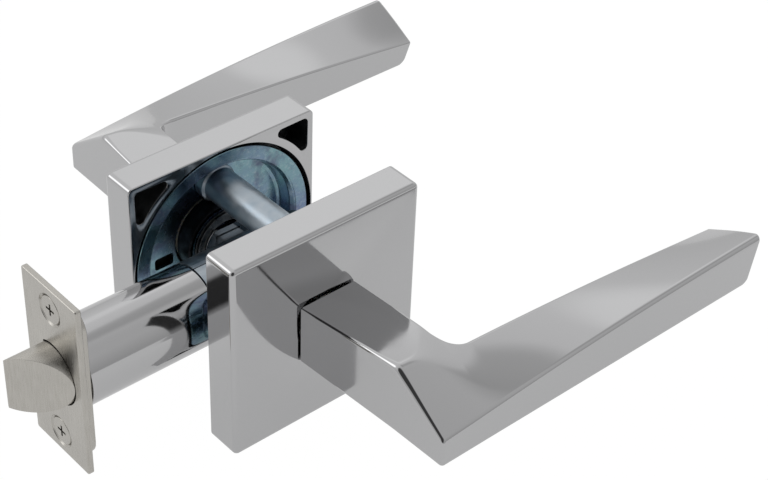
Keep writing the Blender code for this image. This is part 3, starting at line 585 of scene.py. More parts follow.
@dataclass(frozen=True)
class SatinNickel(Finish):
    """Nickel plate over linished steel.

    A warm grey metal with a soft sheen. The belt leaves fine lines up and down the plate; real
    lines are about 0.05 mm apart and are drawn at 0.35 mm so that they show.
    """

    name: str = "satin_nickel_plate"
    colour: str = "#b7b3ab"
    metallic: float = 1.0
    roughness: float = 0.34
    line: float = 0.35
    line_stretch: float = 0.07
    patch: float = 12.0

    def build(self) -> bpy.types.Material:
        """Lines stretched 14 times along Z on colour, roughness and bump, over 12 mm patches."""
        material, tree, shader, place_of = self.start()
        lines = self.noise(tree, place_of, self.line, 2.0, (1.0, 1.0, self.line_stretch)).outputs["Fac"]
        patches = self.noise(tree, place_of, self.patch, 3.0).outputs["Fac"]
        pale = self.blend(tree, self.spread(tree, lines, 0.0, 1.0), "#b9b6af", "#c6c3bd")
        colour = self.blend(tree, self.spread(tree, patches, 0.0, 0.45), pale, "#b2afaa")
        tree.links.new(colour, shader.inputs["Base Color"])
        tree.links.new(self.spread(tree, lines, 0.25, 0.33), shader.inputs["Roughness"])
        self.relief(tree, shader, lines, 0.008, 0.3)
        return material


@dataclass(frozen=True)
class BlueZinc(Finish):
    """Blue-passivated zinc plate on pressed steel.

    A slaty blue-green metal. The passivate is a thin film, so it drifts between teal, steel blue
    and violet in patches a centimetre or so across, with water marks where it dried.
    """

    name: str = "blue_passivated_zinc"
    colour: str = "#7d94a3"
    metallic: float = 1.0
    roughness: float = 0.24
    patch: float = 13.0
    drift: float = 5.0
    spot: float = 1.2

    def build(self) -> bpy.types.Material:
        """Two patch sizes choose between teal, blue and violet; spots of 1.2 mm mark the film."""
        material, tree, shader, place_of = self.start()
        wide = self.noise(tree, place_of, self.patch, 3.0).outputs["Fac"]
        middle = self.noise(tree, place_of, self.drift, 3.0, (1.0, 0.4, 1.0)).outputs["Fac"]
        spots = self.noise(tree, place_of, self.spot, 2.0).outputs["Fac"]
        cool = self.blend(tree, self.spread(tree, wide, 0.0, 1.0, 0.38, 0.62), "#80a3aa", "#788aa6")
        drift = self.blend(tree, self.spread(tree, middle, 0.0, 0.7, 0.5, 0.75), cool, "#645e80")
        marked = self.blend(tree, self.spread(tree, spots, 0.0, 0.35, 0.5, 0.75), drift, "#b6c5c9")
        tree.links.new(marked, shader.inputs["Base Color"])
        tree.links.new(self.spread(tree, middle, 0.16, 0.36), shader.inputs["Roughness"])
        self.relief(tree, shader, middle, 0.08, 0.35)
        return material


@dataclass(frozen=True)
class BrightZinc(Finish):
    """Clear-passivated zinc plate on turned or drawn steel.

    A pale, slightly blue metal with a low gloss and cloudy patches.
    """

    name: str = "clear_passivated_zinc"
    colour: str = "#b4c0c9"
    metallic: float = 1.0
    roughness: float = 0.28
    cloud: float = 6.0
    grain: float = 0.8

    def build(self) -> bpy.types.Material:
        """Clouds of 6 mm shift the blue and the gloss, over a 0.8 mm grain."""
        material, tree, shader, place_of = self.start()
        clouds = self.noise(tree, place_of, self.cloud, 4.0).outputs["Fac"]
        colour = self.blend(tree, self.spread(tree, clouds, 0.0, 1.0), "#9cabb7", "#c0c7cd")
        tree.links.new(colour, shader.inputs["Base Color"])
        tree.links.new(self.spread(tree, clouds, 0.3, 0.46), shader.inputs["Roughness"])
        grain = self.noise(tree, place_of, self.grain, 1.0).outputs["Fac"]
        self.relief(tree, shader, grain, 0.01, 0.15)
        return material


@dataclass(frozen=True)
class SpringSteel(Finish):
    """Oiled spring wire and strip.

    A dark grey metal with small streaks of a lighter grey.
    """

    name: str = "oiled_spring_steel"
    colour: str = "#8a8b8c"
    metallic: float = 1.0
    roughness: float = 0.3
    streak: float = 2.5

    def build(self) -> bpy.types.Material:
        """Streaks of 2.5 mm change the grey and the gloss."""
        material, tree, shader, place_of = self.start()
        streaks = self.noise(tree, place_of, self.streak, 3.0).outputs["Fac"]
        colour = self.blend(tree, self.spread(tree, streaks, 0.0, 1.0), "#6b6c6e", "#a3a4a5")
        tree.links.new(colour, shader.inputs["Base Color"])
        tree.links.new(self.spread(tree, streaks, 0.22, 0.42), shader.inputs["Roughness"])
        return material


@dataclass(frozen=True)
class BlackPhosphate(Finish):
    """Phosphated and oiled steel pressing.

    Nearly black with a soft oily shine and a very fine crystalline grain, drawn at 0.6 mm.
    """

    name: str = "black_phosphated_steel"
    colour: str = "#26272a"
    metallic: float = 0.7
    roughness: float = 0.38
    grain: float = 0.6
    worn: float = 8.0

    def build(self) -> bpy.types.Material:
        """A 0.6 mm grain on gloss and bump, over 8 mm worn patches."""
        material, tree, shader, place_of = self.start()
        grain = self.noise(tree, place_of, self.grain, 2.0).outputs["Fac"]
        worn = self.noise(tree, place_of, self.worn, 4.0).outputs["Fac"]
        colour = self.blend(tree, self.spread(tree, worn, 0.0, 1.0, 0.5, 0.75), "#1d1e21", "#4c4f55")
        tree.links.new(colour, shader.inputs["Base Color"])
        tree.links.new(self.spread(tree, grain, 0.3, 0.5), shader.inputs["Roughness"])
        self.relief(tree, shader, grain, 0.03, 0.4)
        return material


@dataclass(frozen=True)
class NaturalNylon(Finish):
    """Moulded natural nylon 6.

    A milky off-white plastic with a little light in its depth and a soft moulded gloss.
    """

    name: str = "natural_nylon"
    colour: str = "#d9d6cb"
    metallic: float = 0.0
    roughness: float = 0.42
    cloud: float = 5.0
    grain: float = 0.7

    def build(self) -> bpy.types.Material:
        """Cloudiness of 5 mm in the colour and a 0.7 mm moulded texture."""
        material, tree, shader, place_of = self.start()
        shader.inputs["IOR"].default_value = 1.53
        shader.inputs["Subsurface Weight"].default_value = 0.15
        shader.inputs["Subsurface Scale"].default_value = 1.5 * MM
        clouds = self.noise(tree, place_of, self.cloud, 2.0).outputs["Fac"]
        colour = self.blend(tree, self.spread(tree, clouds, 0.0, 1.0), "#cfcbbe", "#e2dfd6")
        tree.links.new(colour, shader.inputs["Base Color"])
        grain = self.noise(tree, place_of, self.grain, 1.0).outputs["Fac"]
        self.relief(tree, shader, grain, 0.03, 0.3)
        return material


@dataclass
class Finishes:
    """Every finish on the set, built once."""

    chrome: bpy.types.Material
    cast: bpy.types.Material
    nickel: bpy.types.Material
    blue_zinc: bpy.types.Material
    bright_zinc: bpy.types.Material
    steel: bpy.types.Material
    black: bpy.types.Material
    nylon: bpy.types.Material

    @classmethod
    def build(cls) -> "Finishes":
        """Build all of them in order."""
        return cls(PolishedChrome().build(), AsCastZinc().build(), SatinNickel().build(),
                   BlueZinc().build(), BrightZinc().build(), SpringSteel().build(),
                   BlackPhosphate().build(), NaturalNylon().build())


# ---- the halves -------------------------------------------------------------------------------
@dataclass
class Lever:
    """One lever: a square neck that bends into a twisted, tapering grip, and its turned shank.

    Out is the distance from the door's middle along Y, and heights run along Z. All sizes are in mm.
    """

    side: Side
    finishes: Finishes
    neck_start: float = 29.2
    neck_half: float = 9.7
    rise_left: float = 4.5
    rise_right: float = 2.4
    fall: float = 1.5
    inner: float = 66.7
    outer: float = 85.6
    left: float = -8.4
    tip: float = 116.4
    crease_left: float = 0.35
    crease_tip: float = 9.5
    crease_bow: float = 1.2
    inner_left: float = 14.2
    inner_tip: float = -0.55
    elbow_r: float = 7.5
    corner_r: float = 1.0
    heel_r: float = 2.8
    rim_r: float = 0.7
    edge_r: float = 0.9
    elbow_edge_r: float = 2.2
    elbow_band: tuple[float, float] = (58.0, 72.0)
    crease_r: float = 1.5
    crease_from: float = 8.0
    ridge: float = 0.8
    saddle: float = 9.0
    slant: float = 3.4
    slant_run: float = 14.0
    shank_r: float = 8.0
    shank_end: float = 16.2
    shank_flat: float = 6.2
    flat_top: float = 19.8
    groove_r: float = 7.2
    groove: tuple[float, float] = (16.8, 17.7)
    socket_half: float = 4.3
    socket_end: float = 28.0
    overlap: float = 0.4
    screw_at: float = 34.5
    screw_r: float = 2.8

    def top(self, x: np.ndarray, out: np.ndarray) -> np.ndarray:
        """Height of the top surface at plan points.

        The neck's top climbs in proportion to out and leans across x. The grip's top is ruled
        between a falling inner edge and a climbing, slightly bowed outer one. The lower of the two
        is taken with the blend min(a, b) - h h k / 4, where h = max(k - |a - b|, 0) / k, and k grows
        from a crisp ridge on the closed side to a soft saddle by the inner elbow.
        """
        share = (out - self.neck_start) / (self.inner - self.neck_start)
        across = np.minimum(1.0, (x + self.neck_half) / (2.0 * self.neck_half))
        neck = self.neck_half + (self.rise_left + (self.rise_right - self.rise_left) * across) * share
        along = (x - self.left) / (self.tip - self.left)
        inner = self.inner_left + (self.inner_tip - self.inner_left) * along
        crease = self.crease_left + (self.crease_tip - self.crease_left) * along
        crease = crease + self.crease_bow * 4.0 * along * (1.0 - along)
        arm = inner + (crease - inner) * (out - self.inner) / (self.outer - self.inner)
        width = self.ridge + self.saddle * smoothstep(self.left + 4.0, self.neck_half + self.elbow_r, x)
        shortfall = np.maximum(width - np.abs(neck - arm), 0.0) / width
        return np.minimum(neck, arm) - shortfall * shortfall * width / 4.0

    def bottom(self, out: np.ndarray) -> np.ndarray:
        """The underside climbs along the neck and is level under the grip."""
        share = np.minimum(1.0, (out - self.neck_start) / (self.inner - self.neck_start))
        return -self.neck_half + self.fall * share

    def plan(self) -> tuple[np.ndarray, np.ndarray, np.ndarray]:
        """Stations from the rose to the tip.

        Along the neck and the grip the two sides face each other squarely. Round the elbow the
        outer side follows the rounded outside corner and the inner one the inside arc, at the same
        angle about the arc's centre. A few stations crowd in over the heel, the tip's rounded lower
        corner, and the last ones draw in by r (1 - cos b) over the tip's rim.

        Returns:
            Inner points (n, 2), outer points (n, 2) and how far each station is drawn in, in mm.
        """
        centre = np.array([self.neck_half + self.elbow_r, self.inner - self.elbow_r])
        lean = (self.left + self.neck_half) / (self.outer - self.neck_start)
        out = np.linspace(self.neck_start, centre[1], 22)
        neck_inner = np.stack([np.full_like(out, self.neck_half), out], axis=-1)
        neck_outer = np.stack([-self.neck_half + lean * (out - self.neck_start), out], axis=-1)
        start = neck_outer[-1]
        corner = np.array([self.left, self.outer])
        finish = np.array([centre[0], self.outer])
        far = np.array([200.0, 0.0])
        arc = fillet(np.stack([start, corner, finish, far]), self.corner_r, 8)[1]
        share = np.linspace(0.0, 1.0, 40)[1:-1, None]
        outer = np.concatenate([start + (arc[0] - start) * share, arc, arc[-1] + (finish - arc[-1]) * share])
        inner = centre + self.elbow_r * unit(outer - centre)
        heel = self.tip - self.heel_r
        over_heel = heel + self.heel_r * np.sin(np.linspace(0.1, 0.92, 8)) * 0.98
        x = np.concatenate([np.linspace(centre[0], heel, 90), over_heel])
        x = x[x < self.tip - self.rim_r - 0.05]
        angle = np.linspace(0.0, math.pi / 2.0, 7)
        x = np.concatenate([x, self.tip - self.rim_r + self.rim_r * np.sin(angle)])
        arm_inner = np.stack([x, np.full_like(x, self.inner)], axis=-1)
        arm_outer = np.stack([x, np.full_like(x, self.outer)], axis=-1)
        inner = np.concatenate([neck_inner, inner, arm_inner])
        outer = np.concatenate([neck_outer, outer, arm_outer])
        drawn = np.zeros(len(inner))
        drawn[-len(angle):] = self.rim_r * (1.0 - np.cos(angle))
        return inner, outer, drawn

    def grip(self) -> Skin:
        """Loft the rounded sections between the stations.

        Each section is a polygon of four corners, filleted, whose upper side then takes the top
        surface's height: z + (top - chord), with the chord from corner to corner. The underside
        lifts by r - sqrt(r r - d d) over the heel. The end leans back towards its foot: a point
        moves by slant (1 - its height's share) times its nearness to the tip.
        """
        inner, outer, drawn = self.plan()
        run = outer - inner
        width = np.linalg.norm(run, axis=-1)
        past_heel = np.maximum(inner[:, 0] - self.tip + self.heel_r, 0.0)
        lift = self.heel_r - np.sqrt(np.maximum(self.heel_r ** 2 - past_heel ** 2, 0.0))
        inner_top = self.top(inner[:, 0], inner[:, 1])
        outer_top = self.top(outer[:, 0], outer[:, 1])
        corners = np.stack([
            np.stack([drawn, inner_top - drawn], axis=-1),
            np.stack([width - drawn, outer_top - drawn], axis=-1),
            np.stack([width - drawn, self.bottom(outer[:, 1]) + lift + drawn], axis=-1),
            np.stack([drawn, self.bottom(inner[:, 1]) + lift + drawn], axis=-1)], axis=1)
        radii = np.full(corners.shape[:2], self.edge_r)
        radii[:, 1] += (self.elbow_edge_r - self.edge_r) * smoothstep(*self.elbow_band, outer[:, 1])
        along_crease = smoothstep(self.left, self.crease_from, outer[:, 0])
        radii[:, 1] += (self.crease_r - self.elbow_edge_r) * along_crease
        arcs = fillet(corners, radii, 7)
        span = np.linspace(0.0, 1.0, 46)[1:-1][:, None]
        bridge = arcs[:, 0, -1][:, None] + (arcs[:, 1, 0] - arcs[:, 0, -1])[:, None] * span
        section = np.concatenate([arcs[:, 0], bridge, arcs[:, 1], arcs[:, 2], arcs[:, 3]], axis=1)
        along = section[..., 0] / width[:, None]
        points = inner[:, None, :] + run[:, None, :] * along[..., None]
        chord = inner_top[:, None] + (outer_top - inner_top)[:, None] * along
        bulge = self.top(points[..., 0], points[..., 1]) - chord
        upper = np.zeros(section.shape[1])
        upper[:2 * arcs.shape[2] + bridge.shape[1]] = 1.0
        height = section[..., 1] + bulge * upper
        floor = self.bottom(points[..., 1])
        level = np.clip((height - floor) / (self.top(points[..., 0], points[..., 1]) - floor), 0.0, 1.0)
        near_tip = np.clip((points[..., 0] - self.tip + self.slant_run) / self.slant_run, 0.0, 1.0)
        x = points[..., 0] - self.slant * (1.0 - level) * near_tip
        return grid_skin(np.stack([x, self.side.value * points[..., 1], height], axis=-1))

    def shank(self) -> bpy.types.Object:
        """Turn the shank, mill its two flats and broach its square socket."""
        low, high = self.groove
        top = self.neck_start + self.overlap
        profile = axle_profile([(0.0, top), (self.shank_r, top),
                                (self.shank_r, high), (self.groove_r, high), (self.groove_r, low),
                                (self.shank_r, low), (self.shank_r, self.shank_end),
                                (0.0, self.shank_end)], 0.25, 2)
        sign = self.side.value
        piece = make_object(self.side.label + "_lever_shank", lathe(profile, Axis.Y, sign))
        far = self.shank_r + 2.0
        near = sorted((sign * (self.shank_end - 2.0), sign * self.flat_top))
        deep = sorted((sign * (self.shank_end - 3.0), sign * self.socket_end))
        half = self.socket_half
        return cut(piece, block((-far, near[0], self.shank_flat), (far, near[1], far)),
                   block((-far, near[0], -far), (far, near[1], -self.shank_flat)),
                   block((-half, deep[0], -half), (half, deep[1], half)))

    def build(self) -> None:
        """Build the grip with its set screw hole, and the shank, and dress them."""
        label = self.side.label
        piece = make_object(label + "_lever_grip", self.grip())
        hole = pin(self.screw_r, -4.0, -14.0, Axis.Z, 40, (0.0, self.side.value * self.screw_at))
        cut(piece, hole, crease=50.0)
        place(piece, self.finishes.chrome, label + "_lever", "polished_chrome", label + "_lever")
        place(self.shank(), self.finishes.chrome, label + "_lever", "polished_chrome")
        dress_node(label + "_lever_screw", self.finishes.steel)


@dataclass
class Rose:
    """The square die-cast rose: a polished tray with a round pocket and four corner pockets."""

    side: Side
    finishes: Finishes
    half: float = 32.5
    back: float = 17.5
    face: float = 28.7
    sheet: float = 2.2
    wall: float = 2.0
    corner_r: float = 1.7
    edge_r: float = 1.35
    back_r: float = 0.35
    pocket_r: float = 31.9
    pocket_corner_r: float = 1.5
    web_r: float = 34.3
    corner_from: float = 17.6
    corner_shift: tuple[float, float] = (-0.2, 0.9)
    hole_r: float = 9.5
    screw_x: float = 14.0
    screw_r: float = 1.8
    screw_z: tuple[float, float] = (-40.0, -28.0)

    def corner_pocket(self, sx: float, sz: float) -> np.ndarray:
        """Outline of one corner pocket.

        Three rounded corners, and a long side bowed outwards along the web: the chord's points move
        by 4 t (1 - t) times the gap between the web's circle and the chord.
        """
        far = self.half - self.wall
        x = self.corner_from + self.corner_shift[0]
        z = math.sqrt(self.web_r ** 2 - self.corner_from ** 2) + self.corner_shift[1]
        arcs = fillet(np.array([(x, z), (far, far), (z, x)]), self.pocket_corner_r, 5, 0.02).reshape(-1, 2)
        share = np.linspace(0.0, 1.0, 16)[1:-1, None]
        line = arcs[-1] + (arcs[0] - arcs[-1]) * share
        bow = self.web_r - np.linalg.norm((arcs[0] + arcs[-1]) / 2.0)
        line = line + bow * 4.0 * share * (1.0 - share) * math.sqrt(0.5)
        return np.concatenate([arcs, line]) * np.array([sx, sz])

    def tools(self) -> list[Skin]:
        """The round pocket, the four corner pockets and the hole for the shank."""
        sign = self.side.value
        depth = self.face - self.sheet
        low, high = sorted((sign * (self.back - 3.0), sign * depth))
        near, far = sorted((sign * self.back, sign * (self.face + 3.0)))
        pocket = pin(self.pocket_r, low, high, Axis.Y, 144, rim=0.6, rim_steps=3)
        hole = pin(self.hole_r, near, far, Axis.Y, 72)
        corners = [slab(self.corner_pocket(sx, sz), low, high, Axis.Y)
                   for sx in (1.0, -1.0) for sz in (1.0, -1.0)]
        return [pocket, hole] + corners

    def build(self) -> None:
        """Cast the tray, cut its pockets and give their insides the as-cast finish."""
        label, sign = self.side.label, self.side.value
        edge = rectangle(self.half, self.half, self.corner_r, 6)
        low, high = sorted((sign * self.back, sign * self.face))
        rims = (self.back_r, self.edge_r) if self.side is Side.REAR else (self.edge_r, self.back_r)
        piece = make_object(label + "_rose_casting", slab(edge, low, high, Axis.Y, rims[0], rims[1], 5))
        tools = self.tools()
        if self.side is Side.FRONT:
            middle = sign * (self.back + self.face) / 2.0
            tools.append(pin(self.screw_r, *self.screw_z, Axis.Z, 32, (self.screw_x, middle)))
        cut(piece, *tools, crease=35.0)
        break_edges(piece, 0.22, 2, 50.0)
        self.line_inside(piece)
        place(piece, self.finishes.chrome, "root", "polished_chrome", label + "_rose")
        if self.side is Side.FRONT:
            dress_node("front_rose_screw", self.finishes.steel)

    def line_inside(self, piece: bpy.types.Object) -> None:
        """Put the as-cast finish on the faces that lie inside the pockets, clear of all outer faces."""
        mesh = piece.data
        mesh.materials.clear()
        mesh.materials.append(self.finishes.chrome)
        mesh.materials.append(self.finishes.cast)
        middles = np.zeros(len(mesh.polygons) * 3, np.float32)
        mesh.polygons.foreach_get("center", middles)
        middles = np.abs(middles.reshape(-1, 3)) / MM
        side = self.half - 1.2
        within = (middles[:, 0] < side) & (middles[:, 2] < side)
        deep = (middles[:, 1] > self.back + self.back_r) & (middles[:, 1] < self.face - 1.0)
        mesh.polygons.foreach_set("material_index", (within & deep).astype(np.int32))


@dataclass
class SpringPack:
    """What fills one rose: the pressed cup, the caged return spring and the parts on the shank."""

    side: Side
    finishes: Finishes
    flange_r: float = 30.7
    wall_r: float = 26.4
    bore_r: float = 13.0
    sheet: float = 1.0
    flange_at: float = 17.9
    slot: tuple[float, float, float, float] = (14.0, 20.5, -5.5, -1.5)
    hole_z: float = 19.0
    cage_r: float = 12.6
    cage_sheet: float = 0.8
    cage_lip: float = 8.4
    cage: tuple[float, float] = (18.3, 24.7)
    spring_r: float = 9.9
    spring_low: float = 20.8
    wire: float = 1.0
    turns: float = 1.75
    ring_r: tuple[float, float] = (7.45, 10.0)
    ring_at: tuple[float, float] = (16.95, 17.5)
    ring_gap: float = 60.0
    washer_r: tuple[float, float] = (8.3, 10.6)
    washer_at: tuple[float, float] = (17.75, 17.95)
    bush_r: tuple[float, float, float] = (8.3, 9.2, 12.0)
    bush_at: tuple[float, float, float] = (25.0, 26.2, 28.5)

    @property
    def floor(self) -> float:
        """How far out the cup's floor lies; the rear cup is deeper, to take the posts."""
        return 21.3 if self.side is Side.FRONT else 24.2

    @property
    def hole_r(self) -> float:
        """Radius of the two holes for the posts or the through bolts."""
        return 2.9 if self.side is Side.FRONT else 3.4

    def cup(self) -> bpy.types.Object:
        """Press the cup, then pierce its floor for the posts and for the spring's two stops."""
        sheet, floor, sign = self.sheet, self.floor, self.side.value
        corners = [(self.flange_r, self.flange_at + sheet), (self.flange_r, self.flange_at),
                   (self.wall_r, self.flange_at), (self.wall_r - 1.0, self.flange_at + 1.6),
                   (self.wall_r - 1.4, floor), (self.bore_r, floor), (self.bore_r, floor + sheet),
                   (self.wall_r - 0.5, floor + sheet), (self.wall_r, self.flange_at + 2.1),
                   (self.wall_r + 0.6, self.flange_at + sheet)]
        radii = np.array([0.3, 0.3, 0.9, 1.0, 1.2, 0.3, 0.3, 1.5, 0.6, 0.3])
        piece = make_object(self.side.label + "_pressed_cup",
                            lathe(outline(corners, radii, 5), Axis.Y, sign, 144, ring=True))
        low, high = sorted((sign * (floor - 3.0), sign * (floor + 3.0)))
        tools = []
        for edge in (1.0, -1.0):
            tools.append(pin(self.hole_r, low, high, Axis.Y, 48, (0.0, self.hole_z * edge)))
            near, far = sorted((edge * self.slot[0], edge * self.slot[1]))
            flat = outline([(near, self.slot[2]), (far, self.slot[2]), (far, self.slot[3]),
                            (near, self.slot[3])], 0.9, 4)
            tools.append(slab(flat, low, high, Axis.Y))
        return cut(piece, *tools, crease=40.0)

    def spring_cage(self) -> Skin:
        """The drawn black can round the return spring, open towards the door."""
        inner, roof = self.cage_r - self.cage_sheet, self.cage[1] - self.cage_sheet
        corners = [(self.cage_r, self.cage[1]), (self.cage_r, self.cage[0]), (inner, self.cage[0]),
                   (inner, roof), (self.cage_lip, roof), (self.cage_lip, self.cage[1])]
        radii = np.array([1.0, 0.35, 0.35, 0.5, 0.2, 0.2])
        return lathe(outline(corners, radii, 4), Axis.Y, self.side.value, 96, ring=True)

    def snap_ring(self) -> Skin:
        """The open snap ring: a rounded strip bent round the shank's groove, with a gap towards +X."""
        inner, outer = self.ring_r
        low, high = self.ring_at
        flat = outline([(inner, low), (outer, low), (outer, high), (inner, high)], 0.18, 3)
        angle = np.radians(np.linspace(self.ring_gap / 2.0, 360.0 - self.ring_gap / 2.0, 90))
        across = flat[None, :, 0] * np.cos(angle)[:, None]
        up = flat[None, :, 0] * np.sin(angle)[:, None]
        along = self.side.value * flat[None, :, 1] + 0.0 * across
        return grid_skin(lay(across, up, along, Axis.Y))

    def bush(self) -> Skin:
        """The flanged nylon bush in the rose's hole."""
        bore, body, flange = self.bush_r
        low, step, top = self.bush_at
        corners = [(body, top), (body, step), (flange, step), (flange, low), (bore, low), (bore, top)]
        return lathe(outline(corners, 0.3, 3), Axis.Y, self.side.value, 80, ring=True)

    def washer(self) -> Skin:
        """The thin washer under the snap ring."""
        bore, rim = self.washer_r
        low, high = self.washer_at
        corners = [(rim, high), (rim, low), (bore, low), (bore, high)]
        return lathe(outline(corners, 0.06, 2), Axis.Y, self.side.value, 80, ring=True)

    def build(self) -> None:
        """Build and dress every piece in the rose."""
        label, sign = self.side.label, self.side.value
        finishes = self.finishes
        turning = label + "_lever"
        place(self.cup(), finishes.blue_zinc, "root", "blue_zinc", label + "_cup")
        cage = make_object(label + "_spring_can", self.spring_cage())
        place(cage, finishes.black, "root", "black_steel", label + "_spring_cage")
        top = self.cage[1] - self.cage_sheet - 0.3 - self.wire / 2.0
        wound = coil(self.spring_r, self.wire, self.spring_low, top, self.turns, Axis.Y, sign)
        place(make_object(label + "_torsion_spring", wound), finishes.steel, "root", "spring_steel",
              label + "_return_spring")
        place(make_object(label + "_shank_bush", self.bush()), finishes.nylon, "root", "nylon",
              label + "_bush")
        place(make_object(label + "_shim_washer", self.washer()), finishes.steel, turning, "spring_steel",
              label + "_washer")
        place(make_object(label + "_shank_ring", self.snap_ring()), finishes.steel, turning, "spring_steel",
              label + "_snap_ring")
        dress_node(label + "_cam_plate", finishes.blue_zinc)


# ---- what joins the halves --------------------------------------------------------------------
@dataclass
class Fixings:
    """The threaded posts on the rear cup, the through bolts that enter them, and the spindle."""

    finishes: Finishes
    spacing: float = 38.0
    post_r: float = 5.25
    post_end: float = -13.0
    spigot_r: float = 3.0
    thread_r: float = 2.8
    thread_end: float = 12.0
    collar_r: float = 5.9
    collar_low: float = 20.4
    rear_floor: float = 24.2
    bolt_head_at: float = 22.6
    bolt_head_r: float = 4.5
    bolt_r: float = 2.5
    bolt_end: float = -9.2
    cross: tuple[float, float] = (2.3, 0.4)
    spindle_half: float = 4.0
    spindle_end: float = 38.0

    def post(self, name: str, z: float) -> bpy.types.Object:
        """Turn one post with its spigot and collar, and bore it from its free end."""
        top = self.rear_floor + 1.6
        seat = self.rear_floor - 0.3
        corners = [(0.0, top), (self.spigot_r, top), (self.spigot_r, seat), (self.collar_r, seat),
                   (self.collar_r, self.collar_low), (self.post_r, self.collar_low - 0.6),
                   (self.post_r, self.post_end), (self.thread_r, self.post_end),
                   (self.thread_r, self.thread_end), (0.0, self.thread_end)]
        radii = np.array([0.1, 0.4, 0.2, 0.5, 0.3, 0.4, 0.6, 0.35, 0.2, 0.1])
        return make_object(name, lathe(axle_profile(corners, radii, 4), Axis.Y, 1.0, 64, (0.0, z)))

    def through_bolt(self, name: str, z: float) -> bpy.types.Object:
        """Turn one pan-headed bolt and punch its cross recess."""
        head, rim = self.bolt_head_at, self.bolt_head_r
        corners = [(0.0, head + 2.8), (rim - 0.9, head + 2.8), (rim, head + 1.4), (rim, head),
                   (self.bolt_r, head), (self.bolt_r, self.bolt_end), (0.0, self.bolt_end)]
        radii = np.array([0.1, 1.2, 1.0, 0.3, 0.2, 0.5, 0.1])
        piece = make_object(name, lathe(axle_profile(corners, radii, 4), Axis.Y, -1.0, 56, (0.0, z)))
        face = -(head + 3.1)
        arm, half = self.cross
        return cut(piece, block((-arm, face - 2.0, z - half), (arm, face + 1.5, z + half)),
                   block((-half, face - 2.0, z - arm), (half, face + 1.5, z + arm)))

    def build(self) -> None:
        """Build the two posts, the two bolts and the spindle."""
        for level, edge in (("upper", 1.0), ("lower", -1.0)):
            z = edge * self.spacing / 2.0
            place(self.post(level + "_threaded_post", z), self.finishes.bright_zinc, "root", "bright_zinc",
                  level + "_post")
            place(self.through_bolt(level + "_clamp_bolt", z), self.finishes.bright_zinc, "root",
                  "bright_zinc", level + "_through_bolt")
        edge = rectangle(self.spindle_half, self.spindle_half, 0.6, 3)
        bar = slab(edge, -self.spindle_end, self.spindle_end, Axis.Y, 0.5, 0.5, 2)
        place(make_object("square_spindle", bar), self.finishes.bright_zinc, "spindle", "bright_zinc",
              "spindle")


